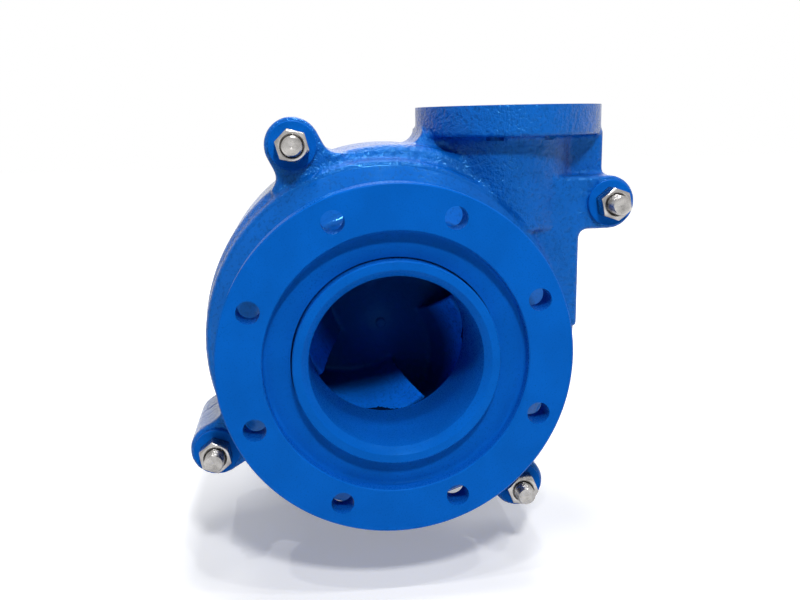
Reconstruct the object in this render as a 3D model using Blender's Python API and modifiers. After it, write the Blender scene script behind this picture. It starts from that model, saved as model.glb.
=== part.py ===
"""A horizontal split-case slurry pump: wet end, gland, bearing assembly and cast base.

Everything is drawn looking at the suction flange: X to the right, Y up, and depth measured from the
flange face into the pump, which is minus Z. One empty turns that drawing upright.
Lengths are in metres.
"""

import math

import bmesh
import bpy
from mathutils import Matrix, Vector

SEAT_GAP = 0.0003
SLIDING_GAP = 0.0004
OVERRUN = 0.004
CAST_ROUND = 0.010
CASTING_FILLET = 0.016
CLEAR_OF_ALL = 0.500
SEAM_MERGE = 0.00001

# Suction flange and intake of the cover plate
SUCTION_FLANGE_RADIUS = 0.170
SUCTION_FLANGE_THICKNESS = 0.028
SUCTION_BOLT_CIRCLE_RADIUS = 0.1475
SUCTION_HOLE_RADIUS = 0.011
SUCTION_HOLE_COUNT = 8
JOINT_RECESS_RADIUS = 0.1265
JOINT_RECESS_DEPTH = 0.014
NECK_RADIUS = 0.128
BELL_INSET = 0.013
BELL_DEPTH = 0.088
BELL_RISE = 0.032
BELL_LIP = 0.003
COVER_SHOULDER = 0.012
RECESS_ROUND = 0.003

# Casing halves
CASING_CENTRE = (0.009, 0.004)
LINER_RIM_WALL = 0.009
CASING_WALL = 0.012
COVER_WALL = 0.004
CAVITY_LENGTH = 0.114
CAVITY_BEFORE_SPLIT = 0.056
FRAME_WALL = 0.022

# Clamping lugs: each bolt's offset from the middle of the casing, as shares of the casing's radius
LUG_BOLT_SHARES = ((-0.5025, 1.005), (-0.9746, -0.5888), (0.6802, -0.8985), (1.1574, 0.67))
LUG_RADIUS = 0.028
LUG_FACE_RISE = 0.005
LUG_REAR_INSET = 0.036
LUG_PAD_RADIUS = 0.024
LUG_PAD_RISE = 0.005
COVER_BOLT_RADIUS = 0.010
COVER_BOLT_HOLE_RADIUS = 0.011
COVER_NUT_FLAT = 0.030
COVER_NUT_HEIGHT = 0.0177
COVER_HEAD_HEIGHT = 0.0125
COVER_BOLT_END = 0.013

# Discharge branch
DISCHARGE_FLANGE_RADIUS = 0.100
DISCHARGE_INSET = 0.063
DISCHARGE_RISE = 0.036
DISCHARGE_FLANGE_THICKNESS = 0.031
DISCHARGE_BOLT_CIRCLE_RADIUS = 0.080
DISCHARGE_HOLE_RADIUS = 0.009
DISCHARGE_HOLE_COUNT = 8
DISCHARGE_BORE_RADIUS = 0.040
DISCHARGE_SEAL_WIDTH = 0.008
DISCHARGE_SEAL_HEIGHT = 0.007
BRANCH_RADIUS = 0.076
BRANCH_OFFSET = 0.007
BRANCH_FOOT = 0.110
WEB_BEFORE_SPLIT = 0.040
WEB_BEHIND_SPLIT = 0.036
WEB_LEFT_REACH = 0.099
WEB_RIGHT_REACH = 0.095

# Throatbush
THROAT_RING_RADIUS = 0.099
THROAT_BORE_RADIUS = 0.080
THROAT_MOUTH_RADIUS = 0.0835
THROAT_CHAMFER = 0.0065
THROAT_BORE_GAP = 0.0015
THROAT_DISC_PAST_IMPELLER = 0.012
THROAT_DISC_THICKNESS = 0.0235
THROAT_DISC_RISE = 0.0035
SUCTION_SEAL_WIDTH = 0.009
SUCTION_SEAL_LENGTH = 0.008

# Volute liner
VOLUTE_GROWTH = 0.028
CUTWATER_GAP = 0.013
REAR_OPENING_GAP = 0.015
VOLUTE_START_ANGLE = math.radians(55)
LINER_FACE_WALL = 0.012
LINER_NECK_WALL = 0.012
LINER_NECK_FOOT = 0.060

# Impeller
EYE_RADIUS = 0.080
IMPELLER_RADIUS = 0.135
IMPELLER_FRONT_GAP = 0.0015
IMPELLER_REAR_ROOM = 0.007
SHROUD_THICKNESS = 0.013
REAR_SHROUD_THICKNESS = 0.012
EXPELLER_HEIGHT = 0.004
EXPELLER_WIDTH = 0.008
EXPELLER_COUNT = 8
VANE_COUNT = 4
VANE_THICKNESS = 0.009
VANE_LEAD_ANGLE = math.radians(30)
VANE_WRAP = math.radians(115)
VANE_HUB_LAG = math.radians(15)
VANE_SINK = 0.004
HUB_NOSE_RISE = 0.018
HUB_TIP_RADIUS = 0.047
HUB_FOOT_RADIUS = 0.070
HUB_RUN_SHARE = 1.25
SHROUD_RUN_SHARE = 1.1
HUB_TURN_SHARE = 0.85
VANE_STEPS = 7
VANE_SPAN_STEPS = 2
HUB_BOSS_HEIGHT = 0.005
NUB_RADIUS = 0.005
NUB_HEIGHT = 0.003
THREAD_BORE_RADIUS = 0.020
THREAD_BORE_INTO_HUB = 0.005

# Rear wear plate and gland
BACK_LINER_THICKNESS = 0.012
BOX_WALL = 0.023
BOX_FLANGE_LIP = 0.006
BOX_NECK_GAP = 0.0035
BOX_FLANGE_SEAT = 0.006
BOX_NECK_LENGTH = 0.008
PACKING_LENGTH = 0.010
PACKING_WIDTH = 0.013
LANTERN_LENGTH = 0.0135
GLAND_ENTRY = 0.0245
LANTERN_HOLE_RADIUS = 0.003
FLUSH_BORE_RADIUS = 0.005
GLAND_NOSE_CLEARANCE = 0.0008
GLAND_TAKE_UP = 0.005
GLAND_PLATE_THICKNESS = 0.012
GLAND_PLATE_LIP = 0.005
GLAND_EAR_RADIUS = 0.014
GLAND_STUD_RADIUS = 0.006
GLAND_STUD_INSET = 0.010
GLAND_STUD_HOLE_RADIUS = 0.0068
GLAND_STUD_SPARE = 0.025
GLAND_NUT_FLAT = 0.019
GLAND_NUT_HEIGHT = 0.010

# Shaft line
SHAFT_SEAL_RADIUS = 0.0255
SLEEVE_FIT = 0.0005
SLEEVE_WALL = 0.008
SHAFT_BEARING_RADIUS = 0.0275
SHAFT_MID_RADIUS = 0.033
SHAFT_END_RADIUS = 0.021
SHAFT_OVERHANG = 0.100
SHAFT_CHAMFER = 0.002
KEY_WIDTH = 0.012
KEY_LENGTH = 0.060
KEY_HEIGHT = 0.008

# Bearing cartridge
HOUSING_STANDOFF = 0.038
HOUSING_LENGTH = 0.210
HOUSING_WALL = 0.0125
HOUSING_SHOULDER = 0.005
BEARING_WIDTH = 0.024
INNER_RACE_WALL = 0.010
ROLLER_ROOM = 0.0115
ROLLER_PLAY = 0.0011
OUTER_RACE_WALL = 0.0085
BEARING_INSET = 0.014
ROLLER_COUNT = 12
ROLLER_SHOWN = math.radians(100)
CAGE_INSET = 0.00075
END_COVER_THICKNESS = 0.010
END_COVER_INSET = 0.001
END_COVER_SPIGOT = 0.012
END_COVER_BORE_RADIUS = 0.043
LABYRINTH_LENGTH = 0.018
LABYRINTH_RUNNING_GAP = 0.0006
LABYRINTH_LIP_RADIUS = 0.052
LABYRINTH_LIP = 0.004
LABYRINTH_GAP = 0.002
LOCKNUT_RADIUS = 0.036
LOCKNUT_LENGTH = 0.010
HOUSING_EAR_THICKNESS = 0.016
HOUSING_EAR_OVERHANG = 0.042
HOUSING_EAR_LENGTH = 0.044
CLAMP_FRONT_INSET = 0.040
CLAMP_REAR_INSET = 0.050
CLAMP_BOLT_RADIUS = 0.006
CLAMP_BOLT_OUTSET = 0.024
CLAMP_SLOT_HALF = 0.0115
CLAMP_SLOT_RADIUS = 0.008
CLAMP_WASHER_RADIUS = 0.015
CLAMP_WASHER_HEIGHT = 0.003
CLAMP_HEAD_FLAT = 0.019
CLAMP_HEAD_HEIGHT = 0.0075
CLAMP_BOLT_LENGTH = 0.060
GREASE_BOSS_RADIUS = 0.011
GREASE_BOSS_RISE = 0.006
GREASE_CUP_RADIUS = 0.008
GREASE_CUP_HEIGHT = 0.018
GREASE_STEM_RADIUS = 0.004
GREASE_CUP_WAIST = 0.0055

# Cast base
SHAFT_HEIGHT = 0.250
BASE_RING_THICKNESS = 0.020
BASE_SPIGOT_LENGTH = 0.012
BASE_SPIGOT_WALL = 0.020
BASE_SPIGOT_FIT = 0.0005
BASE_BOLT_MARGIN = 0.019
BASE_BOLT_RADIUS = 0.008
BASE_BOLT_HEAD_FLAT = 0.024
BASE_BOLT_HEAD_HEIGHT = 0.010
BASE_BOLT_REACH = 0.016
BASE_BOLT_COUNT = 4
BASE_SIDE_WALL = 0.016
BASE_SIDE_GAP = 0.016
BASE_FOOT_LIP = 0.028
BASE_LEAD = 0.060
BASE_TAIL = 0.030
BASE_SHOULDER = 0.020
BASE_FOOT_THICKNESS = 0.016
BASE_FOOT_HOLE_RADIUS = 0.009
BASE_WINDOW_WIDTH = 0.110
BASE_WINDOW_HEIGHT = 0.090
BASE_WINDOW_SILL = 0.060
SADDLE_LENGTH = 0.044
SADDLE_DEPTH_BELOW = 0.110
CROSSWALL = 0.012
CHEEK_BELOW = 0.056
CHEEK_ABOVE = 0.030

# Adjusting screw under the drive end of the housing
ADJUSTER_RADIUS = 0.008
ADJUSTER_BELOW_HOUSING = 0.022
ADJUSTER_HOLE_RADIUS = 0.009
ADJUSTER_LENGTH = 0.096
ADJUSTER_LUG_HALF = 0.016
ADJUSTER_LUG_LENGTH = 0.018
ADJUSTER_NUT_FLAT = 0.024
ADJUSTER_NUT_HEIGHT = 0.013
BRACKET_THICKNESS = 0.016

# Radii and offsets, worked outwards from the shaft and the impeller
SLEEVE_BORE_RADIUS = SHAFT_SEAL_RADIUS + SLEEVE_FIT
SLEEVE_RADIUS = SLEEVE_BORE_RADIUS + SLEEVE_WALL
HUB_BOSS_RADIUS = SLEEVE_RADIUS
PACKING_RADIUS = SLEEVE_RADIUS + PACKING_WIDTH
BOX_NECK_RADIUS = SLEEVE_RADIUS + BOX_NECK_GAP
BOX_RADIUS = PACKING_RADIUS + BOX_WALL
BOX_FLANGE_RADIUS = BOX_RADIUS + BOX_FLANGE_LIP
GLAND_PLATE_RADIUS = PACKING_RADIUS + GLAND_PLATE_LIP
GLAND_STUD_X = BOX_RADIUS - GLAND_STUD_INSET
BEARING_INNER_RADIUS = SHAFT_BEARING_RADIUS + INNER_RACE_WALL
BEARING_OUTER_BORE_RADIUS = BEARING_INNER_RADIUS + ROLLER_ROOM
ROLLER_RADIUS = (ROLLER_ROOM - ROLLER_PLAY) / 2
HOUSING_BORE_RADIUS = BEARING_OUTER_BORE_RADIUS + OUTER_RACE_WALL
HOUSING_RADIUS = HOUSING_BORE_RADIUS + HOUSING_WALL
END_COVER_RADIUS = HOUSING_RADIUS - END_COVER_INSET
LABYRINTH_RADIUS = END_COVER_BORE_RADIUS - LABYRINTH_RUNNING_GAP
HOUSING_EAR_REACH = HOUSING_RADIUS + HOUSING_EAR_OVERHANG
CLAMP_BOLT_X = HOUSING_RADIUS + CLAMP_BOLT_OUTSET
BASE_SIDE_INNER = HOUSING_RADIUS + BASE_SIDE_GAP
BASE_FOOT_WIDTH = BASE_SIDE_INNER + BASE_SIDE_WALL + BASE_FOOT_LIP
ADJUSTER_DROP = HOUSING_RADIUS + ADJUSTER_BELOW_HOUSING
BASE_SPIGOT_RADIUS = BOX_RADIUS + BASE_SPIGOT_WALL
BASE_RING_BORE_RADIUS = BASE_SPIGOT_RADIUS + BASE_SPIGOT_FIT
BASE_BOLT_CIRCLE_RADIUS = BASE_SPIGOT_RADIUS + BASE_BOLT_MARGIN
BASE_RING_RADIUS = BASE_BOLT_CIRCLE_RADIUS + BASE_BOLT_MARGIN
THROAT_DISC_RADIUS = IMPELLER_RADIUS + THROAT_DISC_PAST_IMPELLER
REAR_OPENING_RADIUS = IMPELLER_RADIUS + REAR_OPENING_GAP
VOLUTE_START_RADIUS = IMPELLER_RADIUS + CUTWATER_GAP
CASING_RADIUS = VOLUTE_START_RADIUS + VOLUTE_GROWTH + LINER_RIM_WALL + CASING_WALL
BELL_RADIUS = CASING_RADIUS - BELL_INSET
LUG_BOLT_PLACES = tuple(
    (CASING_CENTRE[0] + CASING_RADIUS * x, CASING_CENTRE[1] + CASING_RADIUS * y) for x, y in LUG_BOLT_SHARES
)
RIGHT_WALL = CASING_CENTRE[0] + CASING_RADIUS
DISCHARGE_X = RIGHT_WALL - DISCHARGE_INSET
DISCHARGE_TOP = CASING_CENTRE[1] + CASING_RADIUS + DISCHARGE_RISE
BRANCH_X = DISCHARGE_X - BRANCH_OFFSET
WEB_LEFT = DISCHARGE_X - WEB_LEFT_REACH
WEB_RIGHT = DISCHARGE_X + WEB_RIGHT_REACH

# Depths from the suction face, each worked out from the piece before it
COVER_FACE_DEPTH = BELL_DEPTH + COVER_SHOULDER
COVER_CAVITY_DEPTH = COVER_FACE_DEPTH + COVER_WALL
SPLIT_DEPTH = COVER_CAVITY_DEPTH + CAVITY_BEFORE_SPLIT
FRAME_CAVITY_DEPTH = COVER_CAVITY_DEPTH + CAVITY_LENGTH
FRAME_REAR_DEPTH = FRAME_CAVITY_DEPTH + FRAME_WALL
LUG_FACE_DEPTH = COVER_FACE_DEPTH - LUG_FACE_RISE
LUG_REAR_DEPTH = FRAME_REAR_DEPTH - LUG_REAR_INSET
WEB_FRONT_DEPTH = SPLIT_DEPTH - WEB_BEFORE_SPLIT
WEB_REAR_DEPTH = SPLIT_DEPTH + WEB_BEHIND_SPLIT
THROAT_INNER_DEPTH = COVER_CAVITY_DEPTH + THROAT_DISC_RISE
THROAT_DISC_DEPTH = THROAT_INNER_DEPTH - THROAT_DISC_THICKNESS
CHAMBER_FRONT_DEPTH = COVER_CAVITY_DEPTH + LINER_FACE_WALL
CHAMBER_REAR_DEPTH = FRAME_CAVITY_DEPTH - LINER_FACE_WALL
IMPELLER_FRONT_DEPTH = THROAT_INNER_DEPTH + IMPELLER_FRONT_GAP
REAR_SHROUD_REAR_DEPTH = CHAMBER_REAR_DEPTH - IMPELLER_REAR_ROOM
REAR_SHROUD_FRONT_DEPTH = REAR_SHROUD_REAR_DEPTH - REAR_SHROUD_THICKNESS
HUB_NOSE_DEPTH = REAR_SHROUD_FRONT_DEPTH - HUB_NOSE_RISE
HUB_BOSS_DEPTH = REAR_SHROUD_REAR_DEPTH + HUB_BOSS_HEIGHT
THREAD_BORE_DEPTH = REAR_SHROUD_FRONT_DEPTH - THREAD_BORE_INTO_HUB
BOX_FLANGE_REAR_DEPTH = FRAME_CAVITY_DEPTH + BOX_FLANGE_SEAT
BOX_NECK_DEPTH = BOX_FLANGE_REAR_DEPTH + BOX_NECK_LENGTH
PACKING_STACK = 3 * PACKING_LENGTH + LANTERN_LENGTH
BOX_REAR_DEPTH = BOX_NECK_DEPTH + PACKING_STACK + GLAND_ENTRY
GLAND_PLATE_DEPTH = BOX_REAR_DEPTH + GLAND_TAKE_UP
GLAND_NUT_DEPTH = GLAND_PLATE_DEPTH + GLAND_PLATE_THICKNESS
GLAND_STUD_END_DEPTH = GLAND_NUT_DEPTH + GLAND_NUT_HEIGHT + GLAND_STUD_SPARE
SLEEVE_REAR_DEPTH = GLAND_STUD_END_DEPTH
HOUSING_FRONT_DEPTH = SLEEVE_REAR_DEPTH + HOUSING_STANDOFF
HOUSING_REAR_DEPTH = HOUSING_FRONT_DEPTH + HOUSING_LENGTH
SHAFT_END_DEPTH = HOUSING_REAR_DEPTH + SHAFT_OVERHANG
CLAMP_DEPTHS = (HOUSING_FRONT_DEPTH + CLAMP_FRONT_INSET, HOUSING_REAR_DEPTH - CLAMP_REAR_INSET)
BASE_FRONT_DEPTH = HOUSING_FRONT_DEPTH - BASE_LEAD
BASE_LENGTH = HOUSING_REAR_DEPTH + BASE_TAIL - BASE_FRONT_DEPTH

FULL_TURN = 2 * math.pi
RIGHT_ANGLE = math.pi / 2
FLATNESS = math.radians(0.2)
SHARP_FROM = math.radians(32)
ROUND_STEPS = 40
MIDDLE_STEPS = 24
PAD_STEPS = 16
SMALL_STEPS = 12
HOLE_STEPS = 12
ARC_STEPS = 4
RIM_STEPS = 2

PUMP_BLUE = ("pump_blue", (0.004, 0.105, 0.485), 0.32, 0.0)
BRIGHT_STEEL = ("bright_steel", (0.62, 0.61, 0.58), 0.28, 1.0)
MACHINED_STEEL = ("machined_steel", (0.45, 0.45, 0.46), 0.35, 1.0)
HARD_IRON = ("hard_iron", (0.20, 0.20, 0.21), 0.55, 0.9)
SEAL_RUBBER = ("seal_rubber", (0.02, 0.02, 0.02), 0.75, 0.0)
PACKING_YARN = ("packing_yarn", (0.30, 0.27, 0.20), 0.9, 0.0)
BRASS = ("brass", (0.62, 0.42, 0.13), 0.35, 1.0)


def clear_scene():
    for obj in list(bpy.data.objects):
        bpy.data.objects.remove(obj, do_unlink=True)


def new_collection(name, helper):
    collection = bpy.data.collections.new(name)
    collection.hide_render = helper
    bpy.context.scene.collection.children.link(collection)
    return collection


clear_scene()
PARTS = new_collection("slurry_pump", False)
CUTTERS = new_collection("cutters", True)
MATERIALS = {}


def finish_of(look):
    name, colour, roughness, metallic = look
    if name not in MATERIALS:
        material = bpy.data.materials.new(name)
        material.use_nodes = True
        shader = material.node_tree.nodes["Principled BSDF"]
        shader.inputs["Base Color"].default_value = (*colour, 1)
        shader.inputs["Roughness"].default_value = roughness
        shader.inputs["Metallic"].default_value = metallic
        MATERIALS[name] = material
    return MATERIALS[name]


def working_solid(mesh):
    """An operand: a solid that is later joined or cut, or becomes a part."""
    obj = bpy.data.objects.new("operand", mesh)
    obj.hide_render = True
    obj.display_type = "WIRE"
    CUTTERS.objects.link(obj)
    return obj


def evaluated_mesh(obj):
    graph = bpy.context.evaluated_depsgraph_get()
    return bpy.data.meshes.new_from_object(obj.evaluated_get(graph))


def discard(obj):
    bpy.data.objects.remove(obj, do_unlink=True)


def boolean(base, others, operation):
    for other in others:
        step = base.modifiers.new(operation.lower(), "BOOLEAN")
        step.operation = operation
        step.solver = "EXACT"
        step.object = other
    base.data = evaluated_mesh(base)
    base.modifiers.clear()
    merge_flat_faces(base.data)
    for other in others:
        discard(other)
    return base


def merge_flat_faces(mesh):
    """Dissolves the edges that lie inside a flat face."""
    shape = bmesh.new()
    shape.from_mesh(mesh)
    bmesh.ops.dissolve_limit(
        shape, angle_limit=FLATNESS, verts=shape.verts, edges=shape.edges, use_dissolve_boundaries=False
    )
    shape.to_mesh(mesh)
    shape.free()


def joined(base, *others):
    return boolean(base, others, "UNION")


def cut(base, *others):
    return boolean(base, others, "DIFFERENCE")


def part(name, solid, look, parent, origin=(0, 0, 0)):
    """Makes a named part of a solid, with its origin at a point of the drawing."""
    mesh = solid.data
    mesh.transform(Matrix.Translation(-Vector(origin)))
    discard(solid)
    return part_from(name, mesh, look, parent, origin)


def part_from(name, mesh, look, parent, origin):
    mesh.name = name
    mesh.shade_smooth()
    mesh.set_sharp_from_angle(angle=SHARP_FROM)
    mesh.materials.clear()
    mesh.materials.append(finish_of(look))
    obj = bpy.data.objects.new(name, mesh)
    obj.parent = parent
    obj.location = origin
    PARTS.objects.link(obj)
    return obj


def turned(profile, steps, centre=(0, 0)):
    """A profile of (radius, depth) points, down its outer side, turned about a line along the depth."""
    mesh = bpy.data.meshes.new("profile")
    points = [(radius, 0, -depth) for radius, depth in profile]
    closed = profile[0][0] > 0 or profile[-1][0] > 0
    edges = [(i, i + 1) for i in range(len(points) - 1)]
    if closed:
        edges.append((len(points) - 1, 0))
    mesh.from_pydata(points, edges, [])
    obj = working_solid(mesh)
    screw = obj.modifiers.new("turning", "SCREW")
    screw.axis = "Z"
    screw.steps = steps
    screw.render_steps = steps
    screw.use_merge_vertices = True
    screw.merge_threshold = SEAM_MERGE
    screw.use_smooth_shade = True
    obj.data = evaluated_mesh(obj)
    obj.modifiers.clear()
    obj.data.transform(Matrix.Translation((*centre, 0)))
    return obj


def ring(inner, outer, front, rear, steps, centre=(0, 0)):
    profile = ((outer, front), (outer, rear), (inner, rear), (inner, front))
    return turned(profile, steps, centre)


def round_bar(centre, radius, front, rear, steps):
    """A cylinder along the depth."""
    shape = bmesh.new()
    bmesh.ops.create_cone(
        shape, cap_ends=True, segments=steps, radius1=radius, radius2=radius, depth=rear - front
    )
    bmesh.ops.translate(shape, verts=shape.verts, vec=(*centre, -(front + rear) / 2))
    return solid_of(shape)


def upright(x, depth, radius, low, high, steps):
    """A cylinder standing along the drawing's Y, between two heights."""
    shape = bmesh.new()
    bmesh.ops.create_cone(
        shape, cap_ends=True, segments=steps, radius1=radius, radius2=radius, depth=high - low
    )
    bmesh.ops.rotate(shape, verts=shape.verts, matrix=Matrix.Rotation(-RIGHT_ANGLE, 3, "X"))
    bmesh.ops.translate(shape, verts=shape.verts, vec=(x, (low + high) / 2, -depth))
    return solid_of(shape)


def solid_of(shape):
    mesh = bpy.data.meshes.new("solid")
    shape.to_mesh(mesh)
    shape.free()
    return working_solid(mesh)


def block(x_span, y_span, depth_span):
    shape = bmesh.new()
    bmesh.ops.create_cube(shape, size=1)
    spans = (x_span, y_span, (-depth_span[1], -depth_span[0]))
    bmesh.ops.scale(shape, verts=shape.verts, vec=[high - low for low, high in spans])
    bmesh.ops.translate(shape, verts=shape.verts, vec=[(low + high) / 2 for low, high in spans])
    return solid_of(shape)


def plate(outline, front, rear):
    """A flat outline of (x, y) points with a thickness along the depth."""
    curve = bpy.data.curves.new("outline", "CURVE")
    curve.dimensions = "2D"
    curve.fill_mode = "BOTH"
    curve.extrude = (rear - front) / 2
    spline = curve.splines.new("POLY")
    spline.points.add(len(outline) - 1)
    for point, (x, y) in zip(spline.points, outline):
        point.co = (x, y, 0, 1)
    spline.use_cyclic_u = True
    flat = working_solid(curve)
    mesh = evaluated_mesh(flat)
    discard(flat)
    shape = bmesh.new()
    shape.from_mesh(mesh)
    bmesh.ops.remove_doubles(shape, verts=shape.verts, dist=SEAM_MERGE)
    bmesh.ops.recalc_face_normals(shape, faces=shape.faces)
    bmesh.ops.translate(shape, verts=shape.verts, vec=(0, 0, -(front + rear) / 2))
    return solid_of(shape)


def arc(centre, radius, start, end, steps=ARC_STEPS):
    angles = [start + (end - start) * i / steps for i in range(steps + 1)]
    return [(centre[0] + radius * math.cos(a), centre[1] + radius * math.sin(a)) for a in angles]


def around(count, radius, start=0.0, centre=(0, 0)):
    """Centres of a circle of holes or bolts."""
    angles = [start + FULL_TURN * i / count for i in range(count)]
    return [(centre[0] + radius * math.cos(a), centre[1] + radius * math.sin(a)) for a in angles]


def between_lines(count):
    """Half a pitch, so that a pattern straddles the centre lines."""
    return math.pi / count


def hexagon(centre, flat, front, rear):
    return round_bar(centre, flat / 2 / math.cos(math.pi / 6), front, rear, 6)


def lug_outline(centre, radius):
    """A lug that grows out of the round casing with cast fillets at its root."""
    reach = Vector(centre) - Vector(CASING_CENTRE)
    away = reach.normalized()
    side = Vector((-away.y, away.x))
    fillet_side = radius + CASTING_FILLET
    fillet_reach = math.sqrt((CASING_RADIUS + CASTING_FILLET) ** 2 - fillet_side**2)
    lean = math.atan2(fillet_side, fillet_reach)
    half = [(0, 0)]
    root = arc((fillet_reach, fillet_side), CASTING_FILLET, lean - math.pi, -RIGHT_ANGLE)
    half += root
    half += arc((reach.length, 0), radius, RIGHT_ANGLE, 0)
    mirrored = [(u, -v) for u, v in reversed(half[1:-1])]
    base = Vector(CASING_CENTRE)
    return [tuple(base + away * u + side * v) for u, v in half + mirrored]


def arm_bolt():
    return LUG_BOLT_PLACES[-1]


def discharge_underside():
    return DISCHARGE_TOP - DISCHARGE_FLANGE_THICKNESS


def liner_neck_radius():
    return DISCHARGE_BORE_RADIUS + LINER_NECK_WALL


def cavity_radius():
    return CASING_RADIUS - CASING_WALL


def pad_face():
    return LUG_FACE_DEPTH - LUG_PAD_RISE


def arm_outline():
    """The upright right wall and the level arm that carries the fourth bolt."""
    x, y = arm_bolt()
    low = y - LUG_RADIUS
    corner = CASTING_FILLET / 2
    outline = [CASING_CENTRE, (RIGHT_WALL, CASING_CENTRE[1])]
    outline += arc((RIGHT_WALL + corner, low - corner), corner, math.pi, RIGHT_ANGLE)
    outline += arc((x, y), LUG_RADIUS, -RIGHT_ANGLE, RIGHT_ANGLE)
    outline.append((CASING_CENTRE[0], y + LUG_RADIUS))
    return outline


def web_outline():
    """The flat web under the discharge flange, run out onto the round casing with a fillet."""
    x, y = CASING_CENTRE
    run = CASING_RADIUS + CASTING_FILLET
    fillet_x = WEB_LEFT - CASTING_FILLET
    fillet_y = y + math.sqrt(run**2 - (fillet_x - x) ** 2)
    towards = math.atan2(y - fillet_y, x - fillet_x)
    top = discharge_underside() + OVERRUN
    outline = [(WEB_LEFT, top)]
    outline += arc((fillet_x, fillet_y), CASTING_FILLET, 0, towards)
    outline += [(x, arm_bolt()[1]), (WEB_RIGHT, arm_bolt()[1]), (WEB_RIGHT, top)]
    return outline


def discharge_branch():
    """The round branch and its flange, whole: each casing half keeps its side of the split."""
    under = discharge_underside()
    branch = upright(BRANCH_X, SPLIT_DEPTH, BRANCH_RADIUS, BRANCH_FOOT, under + OVERRUN, ROUND_STEPS)
    flange = upright(
        DISCHARGE_X, SPLIT_DEPTH, DISCHARGE_FLANGE_RADIUS, under, DISCHARGE_TOP, ROUND_STEPS
    )
    return [branch, flange]


def discharge_cutters():
    """The room for the liner's neck and its seal, and the bolt holes of the discharge flange."""
    high = DISCHARGE_TOP + OVERRUN
    neck = liner_neck_radius() + SEAT_GAP
    seal = neck + DISCHARGE_SEAL_WIDTH + SEAT_GAP
    seal_foot = DISCHARGE_TOP - DISCHARGE_SEAL_HEIGHT - SEAT_GAP
    cutters = [
        upright(DISCHARGE_X, SPLIT_DEPTH, neck, LINER_NECK_FOOT, high, MIDDLE_STEPS),
        upright(DISCHARGE_X, SPLIT_DEPTH, seal, seal_foot, high, MIDDLE_STEPS),
    ]
    places = around(
        DISCHARGE_HOLE_COUNT,
        DISCHARGE_BOLT_CIRCLE_RADIUS,
        between_lines(DISCHARGE_HOLE_COUNT),
        (DISCHARGE_X, SPLIT_DEPTH),
    )
    low = discharge_underside() - OVERRUN
    cutters += [upright(x, depth, DISCHARGE_HOLE_RADIUS, low, high, HOLE_STEPS) for x, depth in places]
    return cutters


def lug_holes(front, rear):
    return [round_bar(place, COVER_BOLT_HOLE_RADIUS, front, rear, HOLE_STEPS) for place in LUG_BOLT_PLACES]


def casing_lugs(front, rear):
    lugs = [plate(lug_outline(place, LUG_RADIUS), front, rear) for place in LUG_BOLT_PLACES[:-1]]
    return lugs + [plate(arm_outline(), front, rear)]


def half_space(front, rear):
    side = (-CLEAR_OF_ALL, CLEAR_OF_ALL)
    return block(side, side, (front, rear))


def suction_bell():
    """Suction flange, neck and the flared bell, turned about the shaft line."""
    waist = SUCTION_FLANGE_THICKNESS + CAST_ROUND
    flare = BELL_DEPTH - BELL_RISE
    slope = (BELL_RADIUS - NECK_RADIUS) / BELL_RISE
    profile = [
        (0, 0),
        (SUCTION_FLANGE_RADIUS, 0),
        (SUCTION_FLANGE_RADIUS, SUCTION_FLANGE_THICKNESS),
        (NECK_RADIUS + CAST_ROUND, SUCTION_FLANGE_THICKNESS),
        (NECK_RADIUS, waist),
        (NECK_RADIUS, flare - CAST_ROUND),
        (NECK_RADIUS + CAST_ROUND, flare + CAST_ROUND / slope),
        (BELL_RADIUS, BELL_DEPTH),
        (BELL_RADIUS + BELL_LIP, BELL_DEPTH + BELL_LIP),
        (BELL_RADIUS + BELL_LIP, COVER_FACE_DEPTH + OVERRUN),
        (0, COVER_FACE_DEPTH + OVERRUN),
    ]
    return turned(profile, ROUND_STEPS)


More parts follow.
